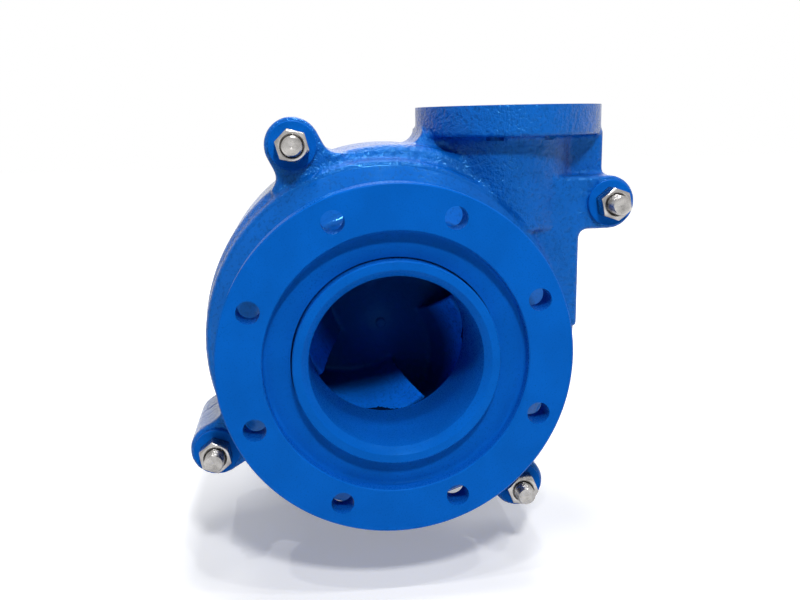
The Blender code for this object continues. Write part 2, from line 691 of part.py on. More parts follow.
def make_cover_plate(parent):
    split = SPLIT_DEPTH - SEAT_GAP / 2
    beyond = SPLIT_DEPTH + OVERRUN
    rim = [(0, COVER_FACE_DEPTH)]
    rim += arc(
        (CASING_RADIUS - CAST_ROUND, COVER_FACE_DEPTH + CAST_ROUND), CAST_ROUND, -RIGHT_ANGLE, 0, RIM_STEPS
    )
    rim += [(CASING_RADIUS, beyond), (0, beyond)]
    pads = [
        round_bar(place, LUG_PAD_RADIUS, pad_face(), LUG_FACE_DEPTH + OVERRUN, PAD_STEPS)
        for place in LUG_BOLT_PLACES
    ]
    cover = joined(
        turned(rim, ROUND_STEPS, CASING_CENTRE),
        suction_bell(),
        *casing_lugs(LUG_FACE_DEPTH, beyond),
        *pads,
        plate(web_outline(), WEB_FRONT_DEPTH, beyond),
        *discharge_branch(),
    )
    disc = THROAT_DISC_RADIUS + SEAT_GAP
    seal = disc + SUCTION_SEAL_WIDTH + SEAT_GAP
    throat = THROAT_RING_RADIUS + THROAT_BORE_GAP
    seal_seat = COVER_CAVITY_DEPTH - SUCTION_SEAL_LENGTH
    intake = [
        (0, -OVERRUN),
        (JOINT_RECESS_RADIUS, -OVERRUN),
        (JOINT_RECESS_RADIUS, JOINT_RECESS_DEPTH - RECESS_ROUND),
        (JOINT_RECESS_RADIUS - RECESS_ROUND, JOINT_RECESS_DEPTH),
        (throat, JOINT_RECESS_DEPTH),
        (throat, THROAT_DISC_DEPTH),
        (disc, THROAT_DISC_DEPTH),
        (disc, seal_seat),
        (seal, seal_seat),
        (seal, COVER_CAVITY_DEPTH + OVERRUN),
        (0, COVER_CAVITY_DEPTH + OVERRUN),
    ]
    holes = around(SUCTION_HOLE_COUNT, SUCTION_BOLT_CIRCLE_RADIUS, between_lines(SUCTION_HOLE_COUNT))
    flange_rear = SUCTION_FLANGE_THICKNESS + OVERRUN
    cover = cut(
        cover,
        half_space(split, beyond + BRANCH_RADIUS + DISCHARGE_FLANGE_RADIUS),
        turned(intake, ROUND_STEPS),
        round_bar(CASING_CENTRE, cavity_radius(), COVER_CAVITY_DEPTH, beyond, ROUND_STEPS),
        *[round_bar(hole, SUCTION_HOLE_RADIUS, -OVERRUN, flange_rear, SMALL_STEPS) for hole in holes],
        *discharge_cutters(),
        *lug_holes(pad_face() - OVERRUN, beyond),
    )
    return part("cover_plate", cover, PUMP_BLUE, parent)


def make_frame_plate(parent):
    split = SPLIT_DEPTH + SEAT_GAP / 2
    before = SPLIT_DEPTH - OVERRUN
    rim = [(0, before), (CASING_RADIUS, before)]
    rim += arc(
        (CASING_RADIUS - CAST_ROUND, FRAME_REAR_DEPTH - CAST_ROUND), CAST_ROUND, 0, RIGHT_ANGLE, RIM_STEPS
    )
    rim.append((0, FRAME_REAR_DEPTH))
    spigot_rear = FRAME_REAR_DEPTH + BASE_SPIGOT_LENGTH
    frame = joined(
        turned(rim, ROUND_STEPS, CASING_CENTRE),
        *casing_lugs(before, LUG_REAR_DEPTH),
        plate(web_outline(), before, WEB_REAR_DEPTH),
        *discharge_branch(),
        round_bar((0, 0), BASE_SPIGOT_RADIUS, FRAME_CAVITY_DEPTH, spigot_rear, ROUND_STEPS),
    )
    box_bore = [
        (0, FRAME_CAVITY_DEPTH - OVERRUN),
        (BOX_FLANGE_RADIUS + SEAT_GAP, FRAME_CAVITY_DEPTH - OVERRUN),
        (BOX_FLANGE_RADIUS + SEAT_GAP, BOX_FLANGE_REAR_DEPTH),
        (BOX_RADIUS + SEAT_GAP, BOX_FLANGE_REAR_DEPTH),
        (BOX_RADIUS + SEAT_GAP, spigot_rear + OVERRUN),
        (0, spigot_rear + OVERRUN),
    ]
    tapped = [
        round_bar(
            place, BASE_BOLT_RADIUS + SEAT_GAP, base_bolt_tip() - SEAT_GAP, spigot_rear, HOLE_STEPS
        )
        for place in base_bolt_places()
    ]
    frame = cut(
        frame,
        half_space(-CLEAR_OF_ALL, split),
        round_bar(CASING_CENTRE, cavity_radius(), before, FRAME_CAVITY_DEPTH, ROUND_STEPS),
        turned(box_bore, ROUND_STEPS),
        *discharge_cutters(),
        *lug_holes(before, LUG_REAR_DEPTH + OVERRUN),
        *tapped,
    )
    return part("frame_plate", frame, PUMP_BLUE, parent)


def spiral(start_radius, growth, start_angle):
    """The volute's outline: its radius grows evenly round the turn from the cutwater."""
    points = []
    for i in range(ROUND_STEPS + 1):
        share = i / ROUND_STEPS
        radius = start_radius + growth * share
        angle = start_angle + FULL_TURN * share
        points.append((radius * math.cos(angle), radius * math.sin(angle)))
    return points


def make_volute_liner(parent):
    front = COVER_CAVITY_DEPTH + SEAT_GAP
    rear = FRAME_CAVITY_DEPTH - SEAT_GAP
    high = DISCHARGE_TOP + OVERRUN
    chamber = spiral(VOLUTE_START_RADIUS, VOLUTE_GROWTH, VOLUTE_START_ANGLE)
    liner = joined(
        round_bar(CASING_CENTRE, cavity_radius() - SEAT_GAP, front, rear, ROUND_STEPS),
        upright(
            DISCHARGE_X, SPLIT_DEPTH, liner_neck_radius(), LINER_NECK_FOOT + SEAT_GAP, DISCHARGE_TOP,
            MIDDLE_STEPS,
        ),
    )
    liner = cut(
        liner,
        plate(chamber, CHAMBER_FRONT_DEPTH, CHAMBER_REAR_DEPTH),
        upright(DISCHARGE_X, SPLIT_DEPTH, DISCHARGE_BORE_RADIUS, LINER_NECK_FOOT, high, MIDDLE_STEPS),
        round_bar(
            (0, 0), THROAT_DISC_RADIUS + SEAT_GAP, front - OVERRUN, CHAMBER_FRONT_DEPTH + OVERRUN,
            ROUND_STEPS,
        ),
        round_bar((0, 0), REAR_OPENING_RADIUS, CHAMBER_REAR_DEPTH - OVERRUN, rear + OVERRUN, ROUND_STEPS),
    )
    return part("volute_liner", liner, HARD_IRON, parent)


def make_throatbush(parent):
    face = THROAT_MOUTH_RADIUS + THROAT_CHAMFER
    profile = [
        (face, 0),
        (THROAT_RING_RADIUS, 0),
        (THROAT_RING_RADIUS, THROAT_DISC_DEPTH + SEAT_GAP),
        (THROAT_DISC_RADIUS, THROAT_DISC_DEPTH + SEAT_GAP),
        (THROAT_DISC_RADIUS, THROAT_INNER_DEPTH),
        (THROAT_BORE_RADIUS, THROAT_INNER_DEPTH),
        (THROAT_MOUTH_RADIUS, THROAT_CHAMFER),
    ]
    return part("throatbush", turned(profile, ROUND_STEPS), PUMP_BLUE, parent)


def make_liner_seals(parent):
    inner = THROAT_DISC_RADIUS + 2 * SEAT_GAP
    front = COVER_CAVITY_DEPTH - SUCTION_SEAL_LENGTH + SEAT_GAP
    suction = ring(inner, inner + SUCTION_SEAL_WIDTH - SEAT_GAP, front, COVER_CAVITY_DEPTH, ROUND_STEPS)
    part("suction_seal", suction, SEAL_RUBBER, parent)
    inner = liner_neck_radius() + SEAT_GAP
    outer = inner + DISCHARGE_SEAL_WIDTH
    discharge = ring(inner, outer, 0, DISCHARGE_SEAL_HEIGHT, MIDDLE_STEPS)
    discharge.data.transform(Matrix.Rotation(-RIGHT_ANGLE, 4, "X"))
    discharge.data.transform(Matrix.Translation((DISCHARGE_X, DISCHARGE_TOP, -SPLIT_DEPTH)))
    part("discharge_seal", discharge, SEAL_RUBBER, parent)


def make_back_liner(parent):
    rear = FRAME_CAVITY_DEPTH - SEAT_GAP
    wear_plate = ring(
        BOX_FLANGE_RADIUS + SEAT_GAP, REAR_OPENING_RADIUS - SEAT_GAP, rear - BACK_LINER_THICKNESS, rear,
        ROUND_STEPS,
    )
    return part("back_liner", wear_plate, HARD_IRON, parent)


def headed_bolt(radius, tip, seat, head_flat, head_height):
    """A hexagon-head bolt along the depth, its tip towards the suction side."""
    overlap = head_height / 2
    bar = round_bar((0, 0), radius, tip, seat + overlap, SMALL_STEPS)
    return joined(bar, hexagon((0, 0), head_flat, seat, seat + head_height))


def pierced_nut(flat, bore, front, rear, place=(0, 0)):
    nut = hexagon(place, flat, front, rear)
    return cut(nut, round_bar(place, bore, front - OVERRUN, rear + OVERRUN, SMALL_STEPS))


def repeated(name, solid, look, parent, places, depth):
    """One mesh used by a numbered part at each place of the drawing."""
    mesh = solid.data
    mesh.transform(Matrix.Translation((0, 0, depth)))
    discard(solid)
    for i, (x, y) in enumerate(places, 1):
        part_from(f"{name}_{i}", mesh, look, parent, (x, y, -depth))


def make_cover_bolts(parent):
    nut_rear = pad_face() - SEAT_GAP
    nut_front = nut_rear - COVER_NUT_HEIGHT
    tip = nut_front - COVER_BOLT_END
    seat = LUG_REAR_DEPTH + SEAT_GAP
    bolt = headed_bolt(COVER_BOLT_RADIUS, tip, seat, COVER_NUT_FLAT, COVER_HEAD_HEIGHT)
    repeated("cover_bolt", bolt, BRIGHT_STEEL, parent, LUG_BOLT_PLACES, seat)
    nut = pierced_nut(COVER_NUT_FLAT, COVER_BOLT_RADIUS + SEAT_GAP, nut_front, nut_rear)
    repeated("cover_nut", nut, BRIGHT_STEEL, parent, LUG_BOLT_PLACES, nut_rear)


def base_bolt_places():
    return around(BASE_BOLT_COUNT, BASE_BOLT_CIRCLE_RADIUS, between_lines(BASE_BOLT_COUNT))


def base_ring_front():
    return FRAME_REAR_DEPTH + SEAT_GAP


def base_ring_rear():
    return base_ring_front() + BASE_RING_THICKNESS


def base_bolt_tip():
    return FRAME_REAR_DEPTH - BASE_BOLT_REACH


def make_base_bolts(parent):
    seat = base_ring_rear() + SEAT_GAP
    bolt = headed_bolt(
        BASE_BOLT_RADIUS, base_bolt_tip(), seat, BASE_BOLT_HEAD_FLAT, BASE_BOLT_HEAD_HEIGHT
    )
    repeated("base_bolt", bolt, BRIGHT_STEEL, parent, base_bolt_places(), seat)


def hub_depth(radius):
    """Depth of the hub's domed front, which runs out flat onto the rear shroud."""
    share = min(radius / HUB_FOOT_RADIUS, 1)
    return HUB_NOSE_DEPTH + (REAR_SHROUD_FRONT_DEPTH - HUB_NOSE_DEPTH) * (1 - math.cos(math.pi * share)) / 2


def vane_point(lead_angle, along, across):
    """A point of the twisted vane: along runs from the eye to the rim, across from hub to shroud."""
    rim = IMPELLER_RADIUS - VANE_THICKNESS / 2
    hub_radius = HUB_TIP_RADIUS + (rim - HUB_TIP_RADIUS) * along**HUB_RUN_SHARE
    shroud_tip = EYE_RADIUS + VANE_SINK
    shroud_radius = shroud_tip + (rim - shroud_tip) * along**SHROUD_RUN_SHARE
    hub_turn = VANE_HUB_LAG + (VANE_WRAP - VANE_HUB_LAG) * along**HUB_TURN_SHARE
    shroud_turn = VANE_WRAP * along
    radius = hub_radius + (shroud_radius - hub_radius) * across
    angle = lead_angle - hub_turn - (shroud_turn - hub_turn) * across
    low = hub_depth(hub_radius) + VANE_SINK
    high = IMPELLER_FRONT_DEPTH + SHROUD_THICKNESS - VANE_SINK
    depth = low + (high - low) * across
    return Vector((radius * math.cos(angle), radius * math.sin(angle), -depth))


def vane(lead_angle):
    shape = bmesh.new()
    bmesh.ops.create_grid(shape, x_segments=VANE_STEPS, y_segments=VANE_SPAN_STEPS, size=1)
    for vertex in shape.verts:
        along, across = (vertex.co.x + 1) / 2, (vertex.co.y + 1) / 2
        vertex.co = vane_point(lead_angle, along, across)
    blade = solid_of(shape)
    wall = blade.modifiers.new("thickness", "SOLIDIFY")
    wall.thickness = VANE_THICKNESS
    wall.offset = 0
    wall.use_even_offset = True
    blade.data = evaluated_mesh(blade)
    blade.modifiers.clear()
    return facing_out(blade)


def facing_out(solid):
    shape = bmesh.new()
    shape.from_mesh(solid.data)
    bmesh.ops.recalc_face_normals(shape, faces=shape.faces)
    shape.to_mesh(solid.data)
    shape.free()
    return solid


def turned_about_shaft(solid, angle):
    solid.data.transform(Matrix.Rotation(angle, 4, "Z"))
    return solid


def make_impeller(parent):
    lip = SHROUD_THICKNESS / 4
    front_shroud = [
        (EYE_RADIUS + lip, IMPELLER_FRONT_DEPTH),
        (IMPELLER_RADIUS, IMPELLER_FRONT_DEPTH),
        (IMPELLER_RADIUS, IMPELLER_FRONT_DEPTH + SHROUD_THICKNESS),
        (EYE_RADIUS + lip, IMPELLER_FRONT_DEPTH + SHROUD_THICKNESS),
        (EYE_RADIUS, IMPELLER_FRONT_DEPTH + SHROUD_THICKNESS - lip),
        (EYE_RADIUS, IMPELLER_FRONT_DEPTH + lip),
    ]
    radii = [NUB_RADIUS + (HUB_FOOT_RADIUS - NUB_RADIUS) * i / ARC_STEPS for i in range(ARC_STEPS + 1)]
    rear_shroud = [
        (0, HUB_NOSE_DEPTH - NUB_HEIGHT),
        (NUB_RADIUS / 2, HUB_NOSE_DEPTH - NUB_HEIGHT),
        (NUB_RADIUS, HUB_NOSE_DEPTH - NUB_HEIGHT / 2),
    ]
    rear_shroud += [(radius, hub_depth(radius)) for radius in radii]
    rear_shroud += [
        (IMPELLER_RADIUS, REAR_SHROUD_FRONT_DEPTH),
        (IMPELLER_RADIUS, REAR_SHROUD_REAR_DEPTH),
        (HUB_BOSS_RADIUS, REAR_SHROUD_REAR_DEPTH),
        (HUB_BOSS_RADIUS, HUB_BOSS_DEPTH),
        (THREAD_BORE_RADIUS, HUB_BOSS_DEPTH),
        (THREAD_BORE_RADIUS, THREAD_BORE_DEPTH),
        (0, THREAD_BORE_DEPTH),
    ]
    vanes = [vane(VANE_LEAD_ANGLE + FULL_TURN * i / VANE_COUNT) for i in range(VANE_COUNT)]
    expellers = []
    for i in range(EXPELLER_COUNT):
        rib = block(
            (HUB_FOOT_RADIUS, IMPELLER_RADIUS - EXPELLER_WIDTH / 2),
            (-EXPELLER_WIDTH / 2, EXPELLER_WIDTH / 2),
            (REAR_SHROUD_REAR_DEPTH - OVERRUN, REAR_SHROUD_REAR_DEPTH + EXPELLER_HEIGHT),
        )
        expellers.append(turned_about_shaft(rib, FULL_TURN * i / EXPELLER_COUNT))
    impeller = joined(
        turned(rear_shroud, ROUND_STEPS), *vanes, turned(front_shroud, ROUND_STEPS), *expellers
    )
    return part("impeller", impeller, PUMP_BLUE, parent)


def back_liner_front():
    return FRAME_CAVITY_DEPTH - SEAT_GAP - BACK_LINER_THICKNESS


def gland_stud_places():
    return [(-GLAND_STUD_X, 0), (GLAND_STUD_X, 0)]


def packing_layout():
    """Front depth of each ring in the stuffing box: two packing rings, the lantern ring, the last ring."""
    places = {}
    depth = BOX_NECK_DEPTH + SEAT_GAP
    for name in ("packing_ring_1", "packing_ring_2", "lantern_ring", "packing_ring_3"):
        places[name] = depth
        depth += (LANTERN_LENGTH if name == "lantern_ring" else PACKING_LENGTH) + SEAT_GAP
    places["gland"] = depth
    return places


def make_stuffing_box(parent):
    profile = [
        (BOX_NECK_RADIUS, back_liner_front()),
        (BOX_FLANGE_RADIUS, back_liner_front()),
        (BOX_FLANGE_RADIUS, BOX_FLANGE_REAR_DEPTH - SEAT_GAP),
        (BOX_RADIUS, BOX_FLANGE_REAR_DEPTH - SEAT_GAP),
        (BOX_RADIUS, BOX_REAR_DEPTH),
        (PACKING_RADIUS, BOX_REAR_DEPTH),
        (PACKING_RADIUS, BOX_NECK_DEPTH),
        (BOX_NECK_RADIUS, BOX_NECK_DEPTH),
    ]
    socket = GLAND_STUD_RADIUS + SEAT_GAP
    studs = [
        round_bar(place, socket, stud_root() - SEAT_GAP, BOX_REAR_DEPTH + OVERRUN, HOLE_STEPS)
        for place in gland_stud_places()
    ]
    port_depth = packing_layout()["lantern_ring"] + LANTERN_LENGTH / 2
    port = upright(
        0, port_depth, FLUSH_BORE_RADIUS, PACKING_RADIUS - OVERRUN, BOX_RADIUS + OVERRUN, HOLE_STEPS
    )
    box = cut(turned(profile, MIDDLE_STEPS), port, *studs)
    return part("stuffing_box", box, PUMP_BLUE, parent)


def stud_root():
    return BOX_REAR_DEPTH - 2 * GLAND_NUT_HEIGHT


def make_packing(parent):
    inner = SLEEVE_RADIUS + SEAT_GAP
    outer = PACKING_RADIUS - SEAT_GAP
    for name, front in packing_layout().items():
        if name.startswith("packing"):
            rope = ring(inner, outer, front, front + PACKING_LENGTH, MIDDLE_STEPS)
            part(name, rope, PACKING_YARN, parent)
    front = packing_layout()["lantern_ring"]
    rear = front + LANTERN_LENGTH
    groove_front = front + LANTERN_LENGTH / 4
    groove_rear = rear - LANTERN_LENGTH / 4
    groove_foot = (inner + outer) / 2
    profile = [
        (outer, front),
        (outer, groove_front),
        (groove_foot, groove_front),
        (groove_foot, groove_rear),
        (outer, groove_rear),
        (outer, rear),
        (inner, rear),
        (inner, front),
    ]
    middle = (front + rear) / 2
    lantern = cut(
        turned(profile, MIDDLE_STEPS),
        upright(0, middle, LANTERN_HOLE_RADIUS, -outer, outer, ARC_STEPS),
    )
    part("lantern_ring", lantern, BRASS, parent)


def make_gland_studs(parent):
    stud = round_bar((0, 0), GLAND_STUD_RADIUS, stud_root(), GLAND_STUD_END_DEPTH, HOLE_STEPS)
    repeated("gland_stud", stud, BRIGHT_STEEL, parent, gland_stud_places(), BOX_REAR_DEPTH)


def make_gland(parent):
    nose_front = packing_layout()["gland"]
    bore = SLEEVE_RADIUS + GLAND_NOSE_CLEARANCE
    nose_radius = PACKING_RADIUS - GLAND_NOSE_CLEARANCE
    rear = GLAND_PLATE_DEPTH + GLAND_PLATE_THICKNESS
    ears = [
        round_bar(place, GLAND_EAR_RADIUS, GLAND_PLATE_DEPTH, rear, SMALL_STEPS)
        for place in gland_stud_places()
    ]
    gland = joined(
        round_bar((0, 0), nose_radius, nose_front, rear - OVERRUN, MIDDLE_STEPS),
        round_bar((0, 0), GLAND_PLATE_RADIUS, GLAND_PLATE_DEPTH, rear, MIDDLE_STEPS),
        block(
            (-GLAND_STUD_X, GLAND_STUD_X),
            (-GLAND_EAR_RADIUS, GLAND_EAR_RADIUS),
            (GLAND_PLATE_DEPTH, rear),
        ),
        *ears,
    )
    bores = [
        round_bar(place, GLAND_STUD_HOLE_RADIUS, GLAND_PLATE_DEPTH - OVERRUN, rear + OVERRUN, HOLE_STEPS)
        for place in gland_stud_places()
    ]
    centre = round_bar((0, 0), bore, nose_front - OVERRUN, rear + OVERRUN, MIDDLE_STEPS)
    part("gland", cut(gland, centre, *bores), PUMP_BLUE, parent)
    nut_front = rear + SEAT_GAP
    nut_rear = nut_front + GLAND_NUT_HEIGHT
    nut = pierced_nut(GLAND_NUT_FLAT, GLAND_STUD_RADIUS + SLIDING_GAP, nut_front, nut_rear)
    repeated("gland_nut", nut, BRIGHT_STEEL, parent, gland_stud_places(), nut_front)


def bearing_fronts():
    """Front depth of the pump-end and drive-end bearings."""
    pump = HOUSING_FRONT_DEPTH + BEARING_INSET
    drive = HOUSING_REAR_DEPTH - BEARING_INSET - BEARING_WIDTH
    return {"pump": pump, "drive": drive}


def make_shaft(parent):
    fronts = bearing_fronts()
    seat_start = SLEEVE_REAR_DEPTH + SEAT_GAP
    middle_start = fronts["pump"] + BEARING_WIDTH + SEAT_GAP
    middle_end = fronts["drive"] - SEAT_GAP
    end_start = drive_labyrinth_rear() + SHAFT_CHAMFER
    thread = THREAD_BORE_RADIUS - SEAT_GAP
    step = HUB_BOSS_DEPTH + 2 * SEAT_GAP
    profile = [
        (0, THREAD_BORE_DEPTH + SEAT_GAP),
        (thread, THREAD_BORE_DEPTH + SEAT_GAP),
        (thread, step),
        (SHAFT_SEAL_RADIUS, step),
        (SHAFT_SEAL_RADIUS, seat_start),
        (SHAFT_BEARING_RADIUS, seat_start),
        (SHAFT_BEARING_RADIUS, middle_start),
        (SHAFT_MID_RADIUS, middle_start),
        (SHAFT_MID_RADIUS, middle_end),
        (SHAFT_BEARING_RADIUS, middle_end),
        (SHAFT_BEARING_RADIUS, end_start),
        (SHAFT_END_RADIUS, end_start),
        (SHAFT_END_RADIUS, SHAFT_END_DEPTH - SHAFT_CHAMFER),
        (SHAFT_END_RADIUS - SHAFT_CHAMFER, SHAFT_END_DEPTH),
        (0, SHAFT_END_DEPTH),
    ]
    key_rear = SHAFT_END_DEPTH - KEY_WIDTH
    key_front = key_rear - KEY_LENGTH
    key_foot = SHAFT_END_RADIUS - KEY_HEIGHT / 2
    half = KEY_WIDTH / 2
    keyway = block(
        (-half - SEAT_GAP, half + SEAT_GAP),
        (key_foot - SEAT_GAP, SHAFT_END_RADIUS + OVERRUN),
        (key_front - SEAT_GAP, key_rear + SEAT_GAP),
    )
    part("shaft", cut(turned(profile, MIDDLE_STEPS), keyway), MACHINED_STEEL, parent)
    key = block((-half, half), (key_foot, key_foot + KEY_HEIGHT), (key_front, key_rear))
    part("shaft_key", key, MACHINED_STEEL, parent)
    sleeve = ring(
        SLEEVE_BORE_RADIUS, SLEEVE_RADIUS, HUB_BOSS_DEPTH + SEAT_GAP, SLEEVE_REAR_DEPTH, MIDDLE_STEPS
    )
    part("shaft_sleeve", sleeve, MACHINED_STEEL, parent)


def drive_labyrinth_rear():
    return HOUSING_REAR_DEPTH + SEAT_GAP + END_COVER_THICKNESS + LABYRINTH_GAP + LABYRINTH_LIP


def make_rotor_rings(parent):
    bore = SHAFT_BEARING_RADIUS + SEAT_GAP
    for end, front in bearing_fronts().items():
        race = ring(bore, BEARING_INNER_RADIUS, front, front + BEARING_WIDTH, MIDDLE_STEPS)
        part(f"inner_race_{end}", race, BRIGHT_STEEL, parent)
    front = HOUSING_FRONT_DEPTH - SEAT_GAP - END_COVER_THICKNESS - LABYRINTH_GAP - LABYRINTH_LIP
    pump = [
        (LABYRINTH_LIP_RADIUS, front),
        (LABYRINTH_LIP_RADIUS, front + LABYRINTH_LIP),
        (LABYRINTH_RADIUS, front + LABYRINTH_LIP),
        (LABYRINTH_RADIUS, front + LABYRINTH_LENGTH),
        (bore, front + LABYRINTH_LENGTH),
        (bore, front),
    ]
    part("labyrinth_pump", turned(pump, MIDDLE_STEPS), MACHINED_STEEL, parent)
    rear = drive_labyrinth_rear()
    drive = [
        (LABYRINTH_RADIUS, rear - LABYRINTH_LENGTH),
        (LABYRINTH_RADIUS, rear - LABYRINTH_LIP),
        (LABYRINTH_LIP_RADIUS, rear - LABYRINTH_LIP),
        (LABYRINTH_LIP_RADIUS, rear),
        (bore, rear),
        (bore, rear - LABYRINTH_LENGTH),
    ]
    part("labyrinth_drive", turned(drive, MIDDLE_STEPS), MACHINED_STEEL, parent)
    nut_front = bearing_fronts()["drive"] + BEARING_WIDTH + SEAT_GAP
    locknut = ring(bore, LOCKNUT_RADIUS, nut_front, nut_front + LOCKNUT_LENGTH, MIDDLE_STEPS)
    part("bearing_locknut", locknut, MACHINED_STEEL, parent)


def cage_outline(inward):
    """The outer or inner edge of the ring of rollers, with the cage between them."""
    track = (BEARING_INNER_RADIUS + BEARING_OUTER_BORE_RADIUS) / 2
    turn = math.pi if inward else 0
    outline = []
    for place in around(ROLLER_COUNT, track):
        facing = math.atan2(place[1], place[0]) + turn
        edge = arc(place, ROLLER_RADIUS, facing - ROLLER_SHOWN / 2, facing + ROLLER_SHOWN / 2)
        outline += reversed(edge) if inward else edge
    return outline


def make_cage(end, parent):
    front = bearing_fronts()[end] + CAGE_INSET
    rear = front + BEARING_WIDTH - 2 * CAGE_INSET
    cage = cut(
        plate(cage_outline(False), front, rear),
        plate(cage_outline(True), front - OVERRUN, rear + OVERRUN),
    )
    part(f"roller_cage_{end}", cage, BRIGHT_STEEL, parent)


def make_outer_races(parent):
    outer = HOUSING_BORE_RADIUS - SEAT_GAP
    for end, front in bearing_fronts().items():
        race = ring(BEARING_OUTER_BORE_RADIUS, outer, front, front + BEARING_WIDTH, MIDDLE_STEPS)
        part(f"outer_race_{end}", race, BRIGHT_STEEL, parent)


def make_end_covers(parent):
    spigot = HOUSING_BORE_RADIUS - SEAT_GAP
    relief = spigot - END_COVER_THICKNESS / 2
    face = HOUSING_FRONT_DEPTH - SEAT_GAP
    pump = [
        (END_COVER_RADIUS, face - END_COVER_THICKNESS),
        (END_COVER_RADIUS, face),
        (spigot, face),
        (spigot, face + END_COVER_SPIGOT),
        (relief, face + END_COVER_SPIGOT),
        (relief, face),
        (END_COVER_BORE_RADIUS, face),
        (END_COVER_BORE_RADIUS, face - END_COVER_THICKNESS),
    ]
    part("end_cover_pump", turned(pump, MIDDLE_STEPS), PUMP_BLUE, parent)
    face = HOUSING_REAR_DEPTH + SEAT_GAP
    drive = [
        (relief, face - END_COVER_SPIGOT),
        (spigot, face - END_COVER_SPIGOT),
        (spigot, face),
        (END_COVER_RADIUS, face),
        (END_COVER_RADIUS, face + END_COVER_THICKNESS),
        (END_COVER_BORE_RADIUS, face + END_COVER_THICKNESS),
        (END_COVER_BORE_RADIUS, face),
        (relief, face),
    ]
    part("end_cover_drive", turned(drive, MIDDLE_STEPS), PUMP_BLUE, parent)


def ear_slots(half_thickness):
    """Cutters of the slots that let the housing slide under its clamp bolts."""
    slots = []
    run = CLAMP_SLOT_HALF - CLAMP_SLOT_RADIUS
    for depth in CLAMP_DEPTHS:
        for x in (-CLAMP_BOLT_X, CLAMP_BOLT_X):
            high = half_thickness + OVERRUN
            slots.append(block(
                (x - CLAMP_SLOT_RADIUS, x + CLAMP_SLOT_RADIUS), (-high, high), (depth - run, depth + run)
            ))
            for end in (depth - run, depth + run):
                slots.append(upright(x, end, CLAMP_SLOT_RADIUS, -high, high, HOLE_STEPS))
    return slots


def make_bearing_housing(parent):
    fronts = bearing_fronts()
    shoulder = HOUSING_BORE_RADIUS - HOUSING_SHOULDER
    pump_shoulder = fronts["pump"] + BEARING_WIDTH + SEAT_GAP
    drive_shoulder = fronts["drive"] - SEAT_GAP
    profile = [
        (HOUSING_BORE_RADIUS, HOUSING_FRONT_DEPTH),
        (HOUSING_RADIUS, HOUSING_FRONT_DEPTH),
        (HOUSING_RADIUS, HOUSING_REAR_DEPTH),
        (HOUSING_BORE_RADIUS, HOUSING_REAR_DEPTH),
        (HOUSING_BORE_RADIUS, drive_shoulder),
        (shoulder, drive_shoulder),
        (shoulder, pump_shoulder),
        (HOUSING_BORE_RADIUS, pump_shoulder),
    ]
    wall_middle = (shoulder + HOUSING_RADIUS) / 2
    half = HOUSING_EAR_THICKNESS / 2
    ears = []
    for depth in CLAMP_DEPTHS:
        span = (depth - HOUSING_EAR_LENGTH / 2, depth + HOUSING_EAR_LENGTH / 2)
        ears.append(block((wall_middle, HOUSING_EAR_REACH), (-half, half), span))
        ears.append(block((-HOUSING_EAR_REACH, -wall_middle), (-half, half), span))
    boss_top = HOUSING_RADIUS + GREASE_BOSS_RISE
    bosses = [
        upright(0, grease_depth(end), GREASE_BOSS_RADIUS, wall_middle, boss_top, SMALL_STEPS)
        for end in fronts
    ]
    lug_rear = HOUSING_REAR_DEPTH
    lug = block(
        (-ADJUSTER_LUG_HALF, ADJUSTER_LUG_HALF),
        (-ADJUSTER_DROP - ADJUSTER_LUG_HALF, -wall_middle),
        (lug_rear - ADJUSTER_LUG_LENGTH, lug_rear),
    )
    housing = joined(turned(profile, MIDDLE_STEPS), *ears, *bosses, lug)
    stem_holes = [
        upright(
            0, grease_depth(end), GREASE_STEM_RADIUS + SEAT_GAP, wall_middle, boss_top + OVERRUN,
            HOLE_STEPS,
        )
        for end in fronts
    ]
    screw_hole = round_bar(
        (0, -ADJUSTER_DROP), ADJUSTER_RADIUS + SEAT_GAP, lug_rear - ADJUSTER_LUG_LENGTH - OVERRUN,
        lug_rear + OVERRUN, HOLE_STEPS,
    )
    housing = cut(housing, *ear_slots(half), *stem_holes, screw_hole)
    return part("bearing_housing", housing, PUMP_BLUE, parent)


def grease_depth(end):
    return bearing_fronts()[end] + BEARING_WIDTH / 2


def make_grease_cups(parent):
    seat = HOUSING_RADIUS + GREASE_BOSS_RISE + SEAT_GAP
    top = GREASE_CUP_HEIGHT
    profile = [
        (0, -top),
        (GREASE_CUP_WAIST, -top),
        (GREASE_CUP_RADIUS, -top + GREASE_STEM_RADIUS / 2),
        (GREASE_CUP_RADIUS, -top / 2),
        (GREASE_CUP_WAIST, -top / 3),
        (GREASE_CUP_WAIST, 0),
        (GREASE_STEM_RADIUS, 0),
        (GREASE_STEM_RADIUS, GREASE_BOSS_RISE),
        (0, GREASE_BOSS_RISE),
    ]
    cup = turned(profile, HOLE_STEPS)
    cup.data.transform(Matrix.Rotation(-RIGHT_ANGLE, 4, "X"))
    mesh = cup.data
    discard(cup)
    for end in bearing_fronts():
        part_from(f"grease_cup_{end}", mesh, BRASS, parent, (0, seat, -grease_depth(end)))


def rail_top():
    return -HOUSING_EAR_THICKNESS / 2 - SEAT_GAP


def both_sides(inner, outer, y_span, depth_span):
    return [block((inner, outer), y_span, depth_span), block((-outer, -inner), y_span, depth_span)]


